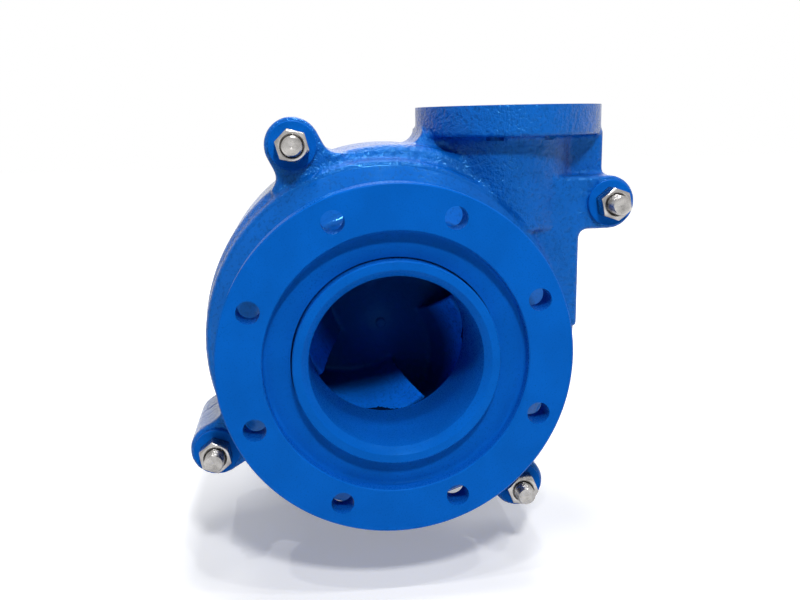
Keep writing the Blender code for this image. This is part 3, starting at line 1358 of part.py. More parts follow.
def make_base_frame(parent):
    floor = -SHAFT_HEIGHT
    rear = BASE_FRONT_DEPTH + BASE_LENGTH
    wall_outer = BASE_SIDE_INNER + BASE_SIDE_WALL
    sides = both_sides(BASE_SIDE_INNER, wall_outer, (floor, rail_top()), (BASE_FRONT_DEPTH, rear))
    cheek_front = base_ring_rear() - BASE_RING_THICKNESS / 2
    cheek_rear = HOUSING_FRONT_DEPTH - BASE_SHOULDER
    cheeks = both_sides(
        BASE_SIDE_INNER, wall_outer, (-CHEEK_BELOW, CHEEK_ABOVE), (cheek_front, cheek_rear)
    )
    foot_top = floor + BASE_FOOT_THICKNESS
    feet = both_sides(
        BASE_SIDE_INNER + BASE_SIDE_WALL / 2, BASE_FOOT_WIDTH, (floor, foot_top), (BASE_FRONT_DEPTH, rear)
    )
    within = (-wall_outer + OVERRUN, wall_outer - OVERRUN)
    saddles = [
        block(
            within, (-SADDLE_DEPTH_BELOW, rail_top()),
            (depth - SADDLE_LENGTH / 2, depth + SADDLE_LENGTH / 2),
        )
        for depth in CLAMP_DEPTHS
    ]
    front_wall = block(
        within, (floor, -BASE_RING_RADIUS), (BASE_FRONT_DEPTH, BASE_FRONT_DEPTH + CROSSWALL)
    )
    bracket_top = -ADJUSTER_DROP + ADJUSTER_LUG_HALF
    rear_wall = block(within, (floor, bracket_top), (rear - BRACKET_THICKNESS, rear))
    brace = brace_plate(floor)
    base = joined(
        ring(BASE_RING_BORE_RADIUS, BASE_RING_RADIUS, base_ring_front(), base_ring_rear(), ROUND_STEPS),
        *sides, *cheeks, *feet, *saddles, front_wall, rear_wall, *brace,
    )
    cradle = round_bar(
        (0, 0), HOUSING_RADIUS + SLIDING_GAP, base_ring_rear() + OVERRUN, rear - BRACKET_THICKNESS,
        ROUND_STEPS,
    )
    middle = (CLAMP_DEPTHS[0] + CLAMP_DEPTHS[1]) / 2
    sill = floor + BASE_WINDOW_SILL
    window = block(
        (-CLEAR_OF_ALL, CLEAR_OF_ALL), (sill, sill + BASE_WINDOW_HEIGHT),
        (middle - BASE_WINDOW_WIDTH / 2, middle + BASE_WINDOW_WIDTH / 2),
    )
    foot_x = (wall_outer + BASE_FOOT_WIDTH) / 2
    inset = BASE_FOOT_WIDTH - wall_outer
    foot_holes = [
        upright(x, depth, BASE_FOOT_HOLE_RADIUS, floor - OVERRUN, foot_top + OVERRUN, HOLE_STEPS)
        for x in (-foot_x, foot_x)
        for depth in (BASE_FRONT_DEPTH + inset, rear - inset)
    ]
    ring_holes = [
        round_bar(
            place, BASE_BOLT_RADIUS + SEAT_GAP, base_ring_front() - OVERRUN, base_ring_rear() + OVERRUN,
            HOLE_STEPS,
        )
        for place in base_bolt_places()
    ]
    clamp_tip = clamp_seat() - CLAMP_BOLT_LENGTH
    clamp_holes = [
        upright(
            x, depth, CLAMP_BOLT_RADIUS + SEAT_GAP, clamp_tip - SEAT_GAP, rail_top() + OVERRUN, HOLE_STEPS
        )
        for x, depth in clamp_places()
    ]
    screw_hole = round_bar(
        (0, -ADJUSTER_DROP), ADJUSTER_HOLE_RADIUS, rear - BRACKET_THICKNESS - OVERRUN, rear + OVERRUN,
        HOLE_STEPS,
    )
    spigot_bore = round_bar(
        (0, 0), BASE_RING_BORE_RADIUS, base_ring_front() - OVERRUN, base_ring_rear(), ROUND_STEPS
    )
    base = cut(base, spigot_bore, cradle, window, *foot_holes, *ring_holes, *clamp_holes, screw_hole)
    return part("base_frame", base, PUMP_BLUE, parent)


def brace_plate(floor):
    """Sloping side ribs that carry the front ring down to the side walls."""
    ribs = []
    ring_front = base_ring_rear() - BASE_RING_THICKNESS / 2
    wall_front = BASE_FRONT_DEPTH + OVERRUN
    outline = [
        (ring_front, -CHEEK_BELOW + OVERRUN),
        (wall_front, -CHEEK_BELOW + OVERRUN),
        (wall_front, floor + BASE_FOOT_THICKNESS / 2),
        (BASE_FRONT_DEPTH, floor + BASE_FOOT_THICKNESS / 2),
        (ring_front, -CHEEK_BELOW - BASE_SHOULDER),
    ]
    inner = BASE_SIDE_INNER + BASE_SIDE_WALL / 4
    outer = BASE_SIDE_INNER + BASE_SIDE_WALL * 3 / 4
    for low, high in ((inner, outer), (-outer, -inner)):
        rib = plate(outline, low, high)
        rib.data.transform(Matrix.Rotation(RIGHT_ANGLE, 4, "Y"))
        rib.data.transform(Matrix.Scale(-1, 4, (1, 0, 0)))
        ribs.append(facing_out(rib))
    return ribs


def clamp_places():
    return [(x, depth) for x in (-CLAMP_BOLT_X, CLAMP_BOLT_X) for depth in CLAMP_DEPTHS]


def clamp_seat():
    return HOUSING_EAR_THICKNESS / 2 + 2 * SEAT_GAP + CLAMP_WASHER_HEIGHT


def make_clamps(parent):
    bolt = headed_bolt(CLAMP_BOLT_RADIUS, -CLAMP_BOLT_LENGTH, 0, CLAMP_HEAD_FLAT, CLAMP_HEAD_HEIGHT)
    washer = ring(
        CLAMP_BOLT_RADIUS + SEAT_GAP, CLAMP_WASHER_RADIUS, 0, CLAMP_WASHER_HEIGHT, SMALL_STEPS
    )
    washer_foot = HOUSING_EAR_THICKNESS / 2 + SEAT_GAP
    for name, solid, height in (("clamp_bolt", bolt, clamp_seat()), ("clamp_washer", washer, washer_foot)):
        mesh = solid.data
        mesh.transform(Matrix.Rotation(RIGHT_ANGLE, 4, "X"))
        discard(solid)
        for i, (x, depth) in enumerate(clamp_places(), 1):
            part_from(f"{name}_{i}", mesh, BRIGHT_STEEL, parent, (x, height, -depth))


def make_adjusting_screw(parent):
    front = HOUSING_REAR_DEPTH - ADJUSTER_LUG_LENGTH - SEAT_GAP
    head = front - CLAMP_HEAD_HEIGHT
    place = (0, -ADJUSTER_DROP)
    bar_front = head + CLAMP_HEAD_HEIGHT / 2
    screw = joined(
        round_bar(place, ADJUSTER_RADIUS, bar_front, front + ADJUSTER_LENGTH, HOLE_STEPS),
        hexagon(place, ADJUSTER_NUT_FLAT, head, front),
    )
    part("adjusting_screw", screw, BRIGHT_STEEL, parent, (*place, -front))


def make_adjusting_nut(parent):
    front = BASE_FRONT_DEPTH + BASE_LENGTH + SEAT_GAP
    rear = front + ADJUSTER_NUT_HEIGHT
    place = (0, -ADJUSTER_DROP)
    nut = pierced_nut(ADJUSTER_NUT_FLAT, ADJUSTER_RADIUS + SLIDING_GAP, front, rear, place)
    part("adjusting_nut", nut, BRIGHT_STEEL, parent, (*place, -front))


def pivot(name, parent=None):
    empty = bpy.data.objects.new(name, None)
    empty.parent = parent
    PARTS.objects.link(empty)
    return empty


def stand_on_floor(root):
    """Moves the whole pump so that the middle of its footprint stands on the origin."""
    bpy.context.view_layer.update()
    corners = [
        obj.matrix_world @ Vector(corner)
        for obj in PARTS.objects
        if obj.type == "MESH"
        for corner in obj.bound_box
    ]
    low = Vector([min(corner[i] for corner in corners) for i in range(3)])
    high = Vector([max(corner[i] for corner in corners) for i in range(3)])
    root.location = (-(low.x + high.x) / 2, -(low.y + high.y) / 2, -low.z)


def make_pump():
    casing = pivot("shaft_line")
    casing.rotation_euler = (RIGHT_ANGLE, 0, 0)
    cartridge = pivot("bearing_cartridge", casing)
    rotor = pivot("rotor_axis", cartridge)
    gland = pivot("gland_axis", casing)

    make_cover_plate(casing)
    make_frame_plate(casing)
    make_volute_liner(casing)
    make_throatbush(casing)
    make_liner_seals(casing)
    make_back_liner(casing)
    make_cover_bolts(casing)
    make_stuffing_box(casing)
    make_packing(casing)
    make_gland_studs(casing)
    make_gland(gland)

    make_impeller(rotor)
    make_shaft(rotor)
    make_rotor_rings(rotor)
    for end in bearing_fronts():
        make_cage(end, pivot(f"cage_axis_{end}", cartridge))

    make_bearing_housing(cartridge)
    make_outer_races(cartridge)
    make_end_covers(cartridge)
    make_grease_cups(cartridge)
    make_adjusting_screw(cartridge)

    make_base_frame(casing)
    make_base_bolts(casing)
    make_clamps(casing)
    make_adjusting_nut(casing)
    stand_on_floor(casing)


make_pump()
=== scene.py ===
"""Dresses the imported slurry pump: painted castings, twisted impeller, plated fasteners, turned shaft line.

The pieces are drawn from the middle of the suction flange's face: X to the right looking at that face,
depth along +Y into the pump, and height above the shaft line along Z. Lengths are in metres.
"""

import math

import bmesh
import bpy
from mathutils import Matrix, Vector


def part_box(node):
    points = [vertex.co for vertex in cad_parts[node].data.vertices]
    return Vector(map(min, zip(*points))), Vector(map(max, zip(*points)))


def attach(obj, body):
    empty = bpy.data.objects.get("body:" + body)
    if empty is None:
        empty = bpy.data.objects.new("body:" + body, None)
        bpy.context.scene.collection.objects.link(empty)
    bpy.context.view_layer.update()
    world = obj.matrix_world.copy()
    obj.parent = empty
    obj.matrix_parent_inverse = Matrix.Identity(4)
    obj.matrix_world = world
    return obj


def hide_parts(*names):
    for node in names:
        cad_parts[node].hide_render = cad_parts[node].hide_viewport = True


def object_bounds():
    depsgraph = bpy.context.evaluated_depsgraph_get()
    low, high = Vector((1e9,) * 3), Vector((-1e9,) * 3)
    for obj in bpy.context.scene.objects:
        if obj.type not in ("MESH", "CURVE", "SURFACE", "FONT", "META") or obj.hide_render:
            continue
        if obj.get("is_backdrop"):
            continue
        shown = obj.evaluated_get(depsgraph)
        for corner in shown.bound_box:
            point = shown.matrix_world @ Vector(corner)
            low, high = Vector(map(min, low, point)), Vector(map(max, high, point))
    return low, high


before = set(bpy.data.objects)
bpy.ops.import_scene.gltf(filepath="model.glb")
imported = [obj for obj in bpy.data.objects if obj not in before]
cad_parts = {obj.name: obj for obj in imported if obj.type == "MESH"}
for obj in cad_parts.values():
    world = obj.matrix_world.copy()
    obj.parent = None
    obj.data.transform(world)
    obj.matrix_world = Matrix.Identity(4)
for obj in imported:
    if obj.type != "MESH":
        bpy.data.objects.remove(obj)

bl_info = {
    "name": "Slurry pump dressing",
    "version": (1, 0, 0),
    "blender": (4, 5, 0),
    "location": "3D View > Sidebar > Slurry pump",
    "description": "Casts, machines and paints the pieces of a slurry pump around its packed model",
    "category": "Object",
}

THROAT_LOW, THROAT_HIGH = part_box("throatbush")
FACE_CENTRE = Vector((
    (THROAT_LOW.x + THROAT_HIGH.x) / 2, THROAT_LOW.y, (THROAT_LOW.z + THROAT_HIGH.z) / 2
))

SEAT_GAP = 0.0003
OVERRUN = 0.004
WIDE = 1.0
THROUGH = (-WIDE, WIDE)
RIGHT_ANGLE = math.pi / 2
FULL_TURN = 2 * math.pi

# Broken edges, from the finest
NUT_EDGE = 0.0003
WASHER_EDGE = 0.0004
FINE_EDGE = 0.0006
PAD_EDGE = 0.0007
TURNED_EDGE = 0.0008
SPIGOT_EDGE = 0.001
SOFT_EDGE = 0.0012
FOLLOWER_EDGE = 0.0014
MOUTH_EDGE = 0.0015
LINER_EDGE = 0.002

# Left on a casting where a face is machined later
STOCK = 0.001

# How near a face's centre lies to a machined surface, and how squarely it faces the same way
NEAR = 0.001
CLOSE = 0.0006
FACING = 0.7

# Suction flange and bell
FLANGE_RADIUS = 0.170
FLANGE_THICKNESS = 0.028
BOLT_CIRCLE_RADIUS = 0.1475
HOLE_RADIUS = 0.011
HOLE_COUNT = 8
RECESS_RADIUS = 0.1265
RECESS_DEPTH = 0.014
RECESS_ROUND = 0.004
NECK_RADIUS = 0.128
NECK_ROUND = 0.010
BELL_RADIUS = 0.184
BELL_DEPTH = 0.088
BELL_RISE = 0.032
BELL_LIP = 0.003
BELL_FADE = 0.003
CAST_FACE = 0.004
FLANGE_TURNED = FLANGE_THICKNESS - 0.0015
HOLE_RUN = 0.006

# Casing halves
CASING_CENTRE = (0.009, 0.004)
CASING_RADIUS = 0.197
BACK_CUT_RADIUS = CASING_RADIUS + 0.002
CASING_WALL = 0.012
CAST_ROUND = 0.010
CASTING_FILLET = 0.016
COVER_FACE = 0.100
COVER_CAVITY = 0.104
SPLIT = 0.160
FRAME_CAVITY = 0.218
FRAME_REAR = 0.240
SPIGOT_RADIUS = 0.090
SPIGOT_REAR = 0.252
RIGHT_WALL = 0.206
LUG_BOLTS = ((-0.090, 0.202), (-0.183, -0.112), (0.143, -0.173), (0.237, 0.136))
LUG_RADIUS = 0.028
LUG_FACE = 0.095
LUG_REAR = 0.204
PAD_RADIUS = 0.024
PAD_RISE = 0.005
LUG_SEAT_RADIUS = 0.0185

# Discharge branch
BRANCH_RADIUS = 0.076
BRANCH_X = 0.136
BRANCH_FOOT = 0.110
DISCHARGE_X = 0.143
DISCHARGE_TOP = 0.237
DISCHARGE_RADIUS = 0.100
DISCHARGE_THICKNESS = 0.031
DISCHARGE_BOLT_CIRCLE = 0.080
DISCHARGE_HOLE_RADIUS = 0.009
DISCHARGE_NECK_ROOM = 0.0523
SEAL_ROOM_RADIUS = 0.0606
SEAL_HEIGHT = 0.007
WEB_FRONT = 0.120
WEB_REAR = 0.196
WEB_LEFT = 0.044
WEB_RIGHT = 0.238

# Volute liner
CHAMBER_START = 0.148
CHAMBER_GROWTH = 0.028
CHAMBER_START_ANGLE = math.radians(55)
CHAMBER_FRONT = 0.116
CHAMBER_REAR = 0.206
REAR_OPENING_RADIUS = 0.150
LINER_NECK_RADIUS = 0.052
LINER_NECK_FOOT = 0.060
DISCHARGE_BORE_RADIUS = 0.040
DISCHARGE_SEAL_WIDTH = 0.008

# Throatbush
THROAT_RING_RADIUS = 0.099
THROAT_ROOM_RADIUS = 0.1005
THROAT_BORE_RADIUS = 0.0828
THROAT_MOUTH_RADIUS = 0.0835
THROAT_CHAMFER = 0.0065
THROAT_DISC_RADIUS = 0.147
THROAT_DISC_DEPTH = 0.084
THROAT_INNER_DEPTH = 0.1075
SUCTION_SEAL_WIDTH = 0.0096
SUCTION_SEAL_LENGTH = 0.008

# Impeller
EYE_RADIUS = 0.080
EYE_RELIEF = 0.0085
VANE_TIP_RADIUS = 0.0815
VANE_RECESS = 0.002
IMPELLER_RADIUS = 0.135
IMPELLER_FRONT = 0.109
SHROUD_THICKNESS = 0.013
REAR_SHROUD_FRONT = 0.187
REAR_SHROUD_REAR = 0.199
EXPELLER_HEIGHT = 0.004
EXPELLER_WIDTH = 0.008
EXPELLER_COUNT = 8
VANE_COUNT = 4
VANE_THICKNESS = 0.009
VANE_LEAD_ANGLE = math.radians(30)
VANE_WRAP = math.radians(115)
VANE_HUB_LAG = math.radians(15)
VANE_SINK = 0.004
VANE_STEPS = 28
VANE_SPAN_STEPS = 10
HUB_NOSE_DEPTH = 0.169
HUB_TIP_RADIUS = 0.047
HUB_FOOT_RADIUS = 0.070
HUB_RUN_SHARE = 1.25
SHROUD_RUN_SHARE = 1.1
HUB_TURN_SHARE = 0.85
HUB_BOSS_RADIUS = 0.034
HUB_BOSS_DEPTH = 0.204
HUB_BOSS_BORE = 0.0205
IMPELLER_GRAIN = 0.0018
IMPELLER_EASE = 8
NUB_RADIUS = 0.0056
NUB_HEIGHT = 0.0045
THREAD_BORE_RADIUS = 0.020
THREAD_BORE_DEPTH = 0.182

# Fasteners
COVER_BOLT_RADIUS = 0.010
COVER_HOLE_RADIUS = 0.011
COVER_NUT_FLAT = 0.030
COVER_NUT_HEIGHT = 0.0177
COVER_HEAD_HEIGHT = 0.0125
COVER_BOLT_END = 0.013
COVER_THREAD_RUN = 0.001
COVER_SHANK_SHARE = 0.99
COVER_NUT_TURNS = tuple(math.radians(turn) for turn in (45, 38, 52, 40))
THREAD_PITCH = 0.0025
THREAD_DEPTH_SHARE = 0.35
THREAD_STEPS_PER_PITCH = 6
THREAD_DIMPLE = 0.35
THREAD_TIP = 0.55
THREAD_CHAMFER = 0.6
THREAD_CREST = 1.4
THREAD_FLANK = 2.2
SHANK_SHARE = 0.98
CROWN_ROOM = 0.0002
CROWN_SHARE = 0.475
CROWN_SLOPE = 0.6
COUNTERSINK = 0.0016

# Gland and stuffing box
BOX_RADIUS = 0.070
BOX_FLANGE_RADIUS = 0.076
BOX_FLANGE_REAR = 0.2237
BOX_FRONT = 0.2057
BOX_REAR = 0.300
BOX_NECK_RADIUS = 0.0375
BOX_NECK_DEPTH = 0.232
PACKING_RADIUS = 0.047
FLUSH_BORE_RADIUS = 0.005
GLAND_STUD_X = 0.060
GLAND_STUD_RADIUS = 0.006
GLAND_STUD_HOLE = 0.0068
GLAND_STUD_ROOT = 0.280
GLAND_PLATE_FRONT = 0.305
GLAND_PLATE_THICKNESS = 0.012
GLAND_PLATE_RADIUS = 0.052
GLAND_EAR_RADIUS = 0.014
GLAND_BORE_RADIUS = 0.0348
GLAND_NOSE_RADIUS = 0.0462
GLAND_NOSE_FRONT = 0.2767
GLAND_NUT_FLAT = 0.019
GLAND_NUT_HEIGHT = 0.010
GLAND_NUT_TURNS = (0.35, 0.8)
GLAND_STUD_END = 0.352
GLAND_PITCH = 0.00175
GLAND_PLAIN_START = 0.030
RUNNING_GAP = 0.0004
FLUSH_DEPTH = 0.2597

# Shaft line
SHAFT_STEP = 0.2046
SHAFT_SEAL_RADIUS = 0.0255
SLEEVE_BORE_RADIUS = 0.026
SLEEVE_RADIUS = 0.0338
SLEEVE_REAR = 0.352
SHAFT_BEARING_RADIUS = 0.0275
SHAFT_MID_RADIUS = 0.033
SHAFT_MID_START = 0.4283
SHAFT_MID_END = 0.5617
SHAFT_END_RADIUS = 0.021
SHAFT_END = 0.700
SHAFT_CHAMFER = 0.002
CENTRE_DRILL = 0.0035
KEY_WIDTH = 0.012
KEY_LENGTH = 0.060
KEY_HEIGHT = 0.008
PUMP_RING_FRONT = 0.3737
DRIVE_RING_REAR = 0.6163
RING_BORE = 0.0278
LABYRINTH_RADIUS = 0.0424
LABYRINTH_LENGTH = 0.018
LIP_RADIUS = 0.052
LIP = 0.004

# Bearing cartridge
HOUSING_RADIUS = 0.070
HOUSING_FRONT = 0.390
HOUSING_REAR = 0.600
HOUSING_BORE_RADIUS = 0.0575
HOUSING_SHOULDER = 0.005
END_COVER_RADIUS = 0.069
END_COVER_THICKNESS = 0.010
END_COVER_BORE = 0.043
END_COVER_SPIGOT = 0.012
EAR_REACH = 0.112
EAR_THICKNESS = 0.016
EAR_LENGTH = 0.044
EAR_ROOM = 0.003
EAR_FACES = (HOUSING_FRONT + 0.010, HOUSING_REAR - 0.020)
EAR_FACE_REACH = 0.040
CLAMP_DEPTHS = (0.430, 0.550)
CLAMP_X = 0.094
CLAMP_SLOT_RADIUS = 0.008
CLAMP_SLOT_HALF = 0.0115
GREASE_DEPTHS = (0.416, 0.574)
GREASE_BOSS_RADIUS = 0.011
GREASE_BOSS_RISE = 0.006
GREASE_FACE_RADIUS = GREASE_BOSS_RADIUS + 0.003
GREASE_CUT_TOP = 0.100
GREASE_STEM_RISE = 0.001
GREASE_STEM_ROOM = 0.0043
GREASE_STEM = 0.004
GREASE_WAIST = 0.0055
GREASE_RADIUS = 0.008
GREASE_HEIGHT = 0.018
ADJUSTER_DROP = 0.092
SCREW_PLACE = (0, -ADJUSTER_DROP)
ADJUSTER_LUG_HALF = 0.016
ADJUSTER_LUG_LENGTH = 0.018
ADJUSTER_HOLE_RADIUS = 0.0083
ADJUSTER_RADIUS = 0.008
ADJUSTER_LENGTH = 0.096
ADJUSTER_FLAT = 0.024
ADJUSTER_NUT_HEIGHT = 0.013
ADJUSTER_SEAT_RADIUS = 0.0145
ADJUSTER_SEAT_ROOM = 0.006
ADJUSTER_HOLE_RUN = 0.030
ADJUSTER_PITCH = 0.002
ADJUSTER_HEAD_TURN = 0.2
ADJUSTER_NUT_TURN = 0.3
SLOT_REACH = 0.020
HOUSING_EASE = 8
HOUSING_GRAIN_SHARE = 0.9

# Cast base
SHAFT_HEIGHT = 0.250
RING_RADIUS = 0.128
RING_BORE_RADIUS = 0.0905
RING_FRONT = 0.2403
RING_REAR = 0.2603
BASE_BOLT_CIRCLE = 0.109
BASE_BOLT_COUNT = 4
BASE_HOLE_RADIUS = 0.0083
BASE_BOLT_RADIUS = 0.008
BASE_BOLT_TIP = 0.224
BASE_HEAD_FLAT = 0.024
BASE_HEAD_HEIGHT = 0.010
BASE_SEAT_RADIUS = 0.015
BASE_SEAT_DEPTH = 0.014
BASE_PITCH = 0.002
CLAMP_RADIUS = 0.006
CLAMP_LENGTH = 0.060
CLAMP_FLAT = 0.019
CLAMP_HEAD_HEIGHT = 0.0075
CLAMP_PITCH = 0.00175
CLAMP_TURNS = (0.1, 0.6, 0.9, 0.3)
WASHER_RADIUS = 0.015
WASHER_HEIGHT = 0.003
CLAMP_SEAT = EAR_THICKNESS / 2 + 2 * SEAT_GAP + WASHER_HEIGHT
SIDE_INNER = 0.086
SIDE_OUTER = 0.102
BASE_FRONT = 0.330
BASE_REAR = 0.630
SHOULDER = 0.020
FOOT_HALF_WIDTH = 0.130
FOOT_THICKNESS = 0.016
FOOT_HOLE_RADIUS = 0.009
FOOT_HOLE_INSET = 0.028
FOOT_HOLE_RUN = 0.030
WINDOW_WIDTH = 0.110
WINDOW_HEIGHT = 0.090
WINDOW_SILL = 0.060
SADDLE_LENGTH = 0.044
SADDLE_FOOT = 0.110
RAIL_TOP = -0.0083
CROSSWALL = 0.012
BRACKET_THICKNESS = 0.016
CHEEK_BELOW = 0.056
CHEEK_ABOVE = 0.030
CHEEK_REAR = 0.370
RAIL_FRONT = CHEEK_REAR + 0.002
CRADLE_RADIUS = 0.0704
BRACKET_HOLE_RADIUS = 0.009
BRACKET_SEAT_RADIUS = 0.016
BORE_CUT_FRONT = 0.2
WINDOW_CORNER = 0.014
BASE_EASE = 10

# Finishes: the tint of the paint's shine, and the depth from which painted shade darkens the impeller's
# paint
PAINT_SHEEN = (0.12, 0.55, 1.0, 1)
PAINTED_SHADE_DEPTH = 0.130
PAINTED_SHADE_RUN = 0.030
SKIN_RELIEF = 0.00012
SCUFF_RELIEF = 0.00004
TURNED_RELIEF = 0.00003
SAND_RELIEF = 0.0005
RUBBER_RELIEF = 0.00015
WEAVE_RELIEF = 0.0006
STEEL_COLOUR = (0.5, 0.5, 0.51)
GROUND_STEEL_COLOUR = (0.6, 0.59, 0.57)
IRON_COLOUR = (0.2, 0.2, 0.21)
RUST_COLOUR = (0.13, 0.055, 0.025, 1)
RUBBER_COLOUR = (0.018, 0.018, 0.018)
BLOOM_COLOUR = (0.06, 0.06, 0.06, 1)
PACKING_COLOUR = (0.3, 0.27, 0.2)
BRASS_COLOUR = (0.62, 0.42, 0.13)
WHITE = (1, 1, 1, 1)

# Stage: lamps by name, place from the middle of the pump, size and power
STAGE_MIDDLE = FACE_CENTRE + Vector((0.03, 0.1, 0.0))
LAMPS = (
    ("key_above_front", (0.05, -1.42, 1.4), (0.22, 0.18), 22.0),
    ("overhead", (0.1, 0.0, 1.9), (0.8, 0.6), 18.0),
    ("front_fill", (0.3, -2.3, 0.4), (0.7, 0.7), 0.5),
    ("left_fill", (-1.9, -0.1, 0.6), (0.8, 1.0), 0.5),
    ("right_fill", (1.9, -0.3, 0.5), (0.8, 1.0), 1.0),
    ("rear_rim", (0.4, 1.9, 1.6), (1.4, 0.8), 16.0),
    ("lamp_left", (-0.62, -0.78, 1.7), 0.05, 4.5),
    ("lamp_middle", (0.12, -0.82, 1.8), 0.05, 4.5),
    ("lamp_right", (0.72, -0.78, 1.7), 0.05, 4.5),
)
FLOOR_CORNERS = ((-8, -8), (8, -8), (8, 8), (-8, 8))
FLOOR_CLEARING = (0.35, 1.6)

# Camera: place from the middle of the suction face, then turns about Z, X and its own line of sight
CAMERA_PLACE = (-0.0835, -0.7327, 0.2246)
CAMERA_TURNS = (-0.11745, -0.21648, 0.0197)
CAMERA_LENS = 36.85
CAMERA_SENSOR = 36
CAMERA_CLIP = 0.01


def new_object(name, mesh):
    obj = bpy.data.objects.new(name, mesh)
    bpy.context.scene.collection.objects.link(obj)
    return obj


def discard(*objects):
    for obj in objects:
        bpy.data.objects.remove(obj, do_unlink=True)


def solid_of(points, faces):
    """A working solid of points and faces, its faces turned outwards."""
    mesh = bpy.data.meshes.new("solid")
    mesh.from_pydata(points, [], faces)
    shape = bmesh.new()
    shape.from_mesh(mesh)
    bmesh.ops.recalc_face_normals(shape, faces=shape.faces)
    shape.to_mesh(mesh)
    shape.free()
    return new_object("solid", mesh)


def applied(obj):
    """The same object with its modifiers worked into its mesh."""
    graph = bpy.context.evaluated_depsgraph_get()
    obj.data = bpy.data.meshes.new_from_object(obj.evaluated_get(graph))
    obj.modifiers.clear()
    return obj


def modify(obj, kind, **values):
    """Adds a modifier, which applied() works in later."""
    step = obj.modifiers.new(kind.lower(), kind)
    for key, value in values.items():
        setattr(step, key, value)


def boolean(base, others, operation):
    for other in others:
        modify(base, "BOOLEAN", operation=operation, solver="MANIFOLD", object=other)
    applied(base)
    discard(*others)
    return base


def joined(base, *others):
    return boolean(base, others, "UNION")


def cut(base, *others):
    return boolean(base, others, "DIFFERENCE")


def shared_by(base, other):
    return boolean(base, [other], "INTERSECT")


def gathered(solids):
    """Several solids as one working mesh, not joined where they meet."""
    shape = bmesh.new()
    for solid in solids:
        shape.from_mesh(solid.data)
    discard(*solids)
    mesh = bpy.data.meshes.new("gathered")
    shape.to_mesh(mesh)
    shape.free()
    return new_object("gathered", mesh)


def lofted(rings, closed=False):
    """Skins a row of rings of points, each as long as the others or a single point."""
    points, rows = [], []
    for row in rings:
        rows.append(range(len(points), len(points) + len(row)))
        points += row
    steps = max(len(row) for row in rows)
    faces = []
    for i in range(len(rows) if closed else len(rows) - 1):
        one, two = rows[i], rows[(i + 1) % len(rows)]
        for j in range(steps):
            k = (j + 1) % steps
            corners = [one[j % len(one)], one[k % len(one)], two[k % len(two)], two[j % len(two)]]
            faces.append(list(dict.fromkeys(corners)))
    return solid_of(points, faces)


def circle(radius, depth, steps, centre=(0, 0)):
    if radius == 0:
        return [(centre[0], depth, centre[1])]
    return [(x, depth, z) for x, z in around(steps, radius, 0.0, centre)]


def turned(profile, steps, centre=(0, 0)):
    """Turns a profile of (radius, depth) points about a line along the depth, through centre."""
    hollow = profile[0][0] > 0 and profile[-1][0] > 0
    return lofted([circle(radius, depth, steps, centre) for radius, depth in profile], hollow)


def threaded_bar(radius, tip, rear, pitch, steps=40):
    """A stud end at the origin of the plan: dimpled, chamfered, and threaded from the tip to rear."""
    depth_of_thread = pitch * THREAD_DEPTH_SHARE
    rows = [circle(0, tip + pitch * THREAD_DIMPLE, steps), circle(pitch * THREAD_TIP, tip, steps)]
    count = round((rear - tip) / pitch * THREAD_STEPS_PER_PITCH)
    for i in range(count + 1):
        depth = tip + (rear - tip) * i / count
        chamfer = radius - pitch * THREAD_CHAMFER + (depth - tip)
        row = []
        for j in range(steps):
            share = (depth / pitch - j / steps) % 1
            flank = min(1, max(0, THREAD_CREST - abs(2 * share - 1) * THREAD_FLANK))
            reach = min(radius - depth_of_thread * flank, chamfer)
            angle = FULL_TURN * j / steps
            row.append((reach * math.cos(angle), depth, reach * math.sin(angle)))
        rows.append(row)
    rows.append(circle(0, rear, steps))
    return lofted(rows)


def ring(inner, outer, front, rear, steps, edge=0.0, centre=(0, 0)):
    """A ring along the depth, with an optional bevel on its outer edges."""
    profile = [
        (inner, front), (outer - edge, front), (outer, front + edge), (outer, rear - edge),
        (outer - edge, rear), (inner, rear),
    ]
    return turned(list(dict.fromkeys(profile)), steps, centre)


def bar(centre, radius, front, rear, steps, edge=0.0):
    """A cylinder along the depth, with an optional bevel at both ends."""
    return ring(0, radius, front, rear, steps, edge, centre)


def moved(solid, x, z, depth=0):
    solid.data.transform(Matrix.Translation((x, depth, z)))
    return solid


def stood_up(solid, x, depth):
    """Turns a solid drawn along the depth so that it points up, at a place of the plan."""
    solid.data.transform(Matrix.Rotation(RIGHT_ANGLE, 4, "X"))
    return moved(solid, x, 0, depth)


def upright(x, depth, radius, low, high, steps, edge=0.0):
    return stood_up(bar((0, 0), radius, low, high, steps, edge), x, depth)


def block(x_span, depth_span, z_span):
    points = [(x, y, z) for x in x_span for y in depth_span for z in z_span]
    faces = [(0, 1, 3, 2), (4, 6, 7, 5), (0, 4, 5, 1), (2, 3, 7, 6), (0, 2, 6, 4), (1, 5, 7, 3)]
    return solid_of(points, faces)


def prism(near, far):
    """A solid between two outlines with the same number of points."""
    count = len(near)
    faces = [list(range(count)), list(range(count, 2 * count))]
    faces += [(i, (i + 1) % count, count + (i + 1) % count, count + i) for i in range(count)]
    return solid_of(near + far, faces)


def plate(outline, front, rear):
    """A flat outline of (x, z) points with a thickness along the depth."""
    return prism([(x, front, z) for x, z in outline], [(x, rear, z) for x, z in outline])


def side_plate(outline, low, high):
    """A flat outline of (depth, z) points with a thickness across."""
    return prism([(low, depth, z) for depth, z in outline], [(high, depth, z) for depth, z in outline])


def at_angles(centre, radius, angles):
    return [(centre[0] + radius * math.cos(a), centre[1] + radius * math.sin(a)) for a in angles]


def arc(centre, radius, start, end, steps=12):
    return at_angles(centre, radius, [start + (end - start) * i / steps for i in range(steps + 1)])


def around(count, radius, start=0.0, centre=(0, 0)):
    """Evenly spaced points on a circle, such as the centres of its holes or bolts."""
    return at_angles(centre, radius, [start + FULL_TURN * i / count for i in range(count)])


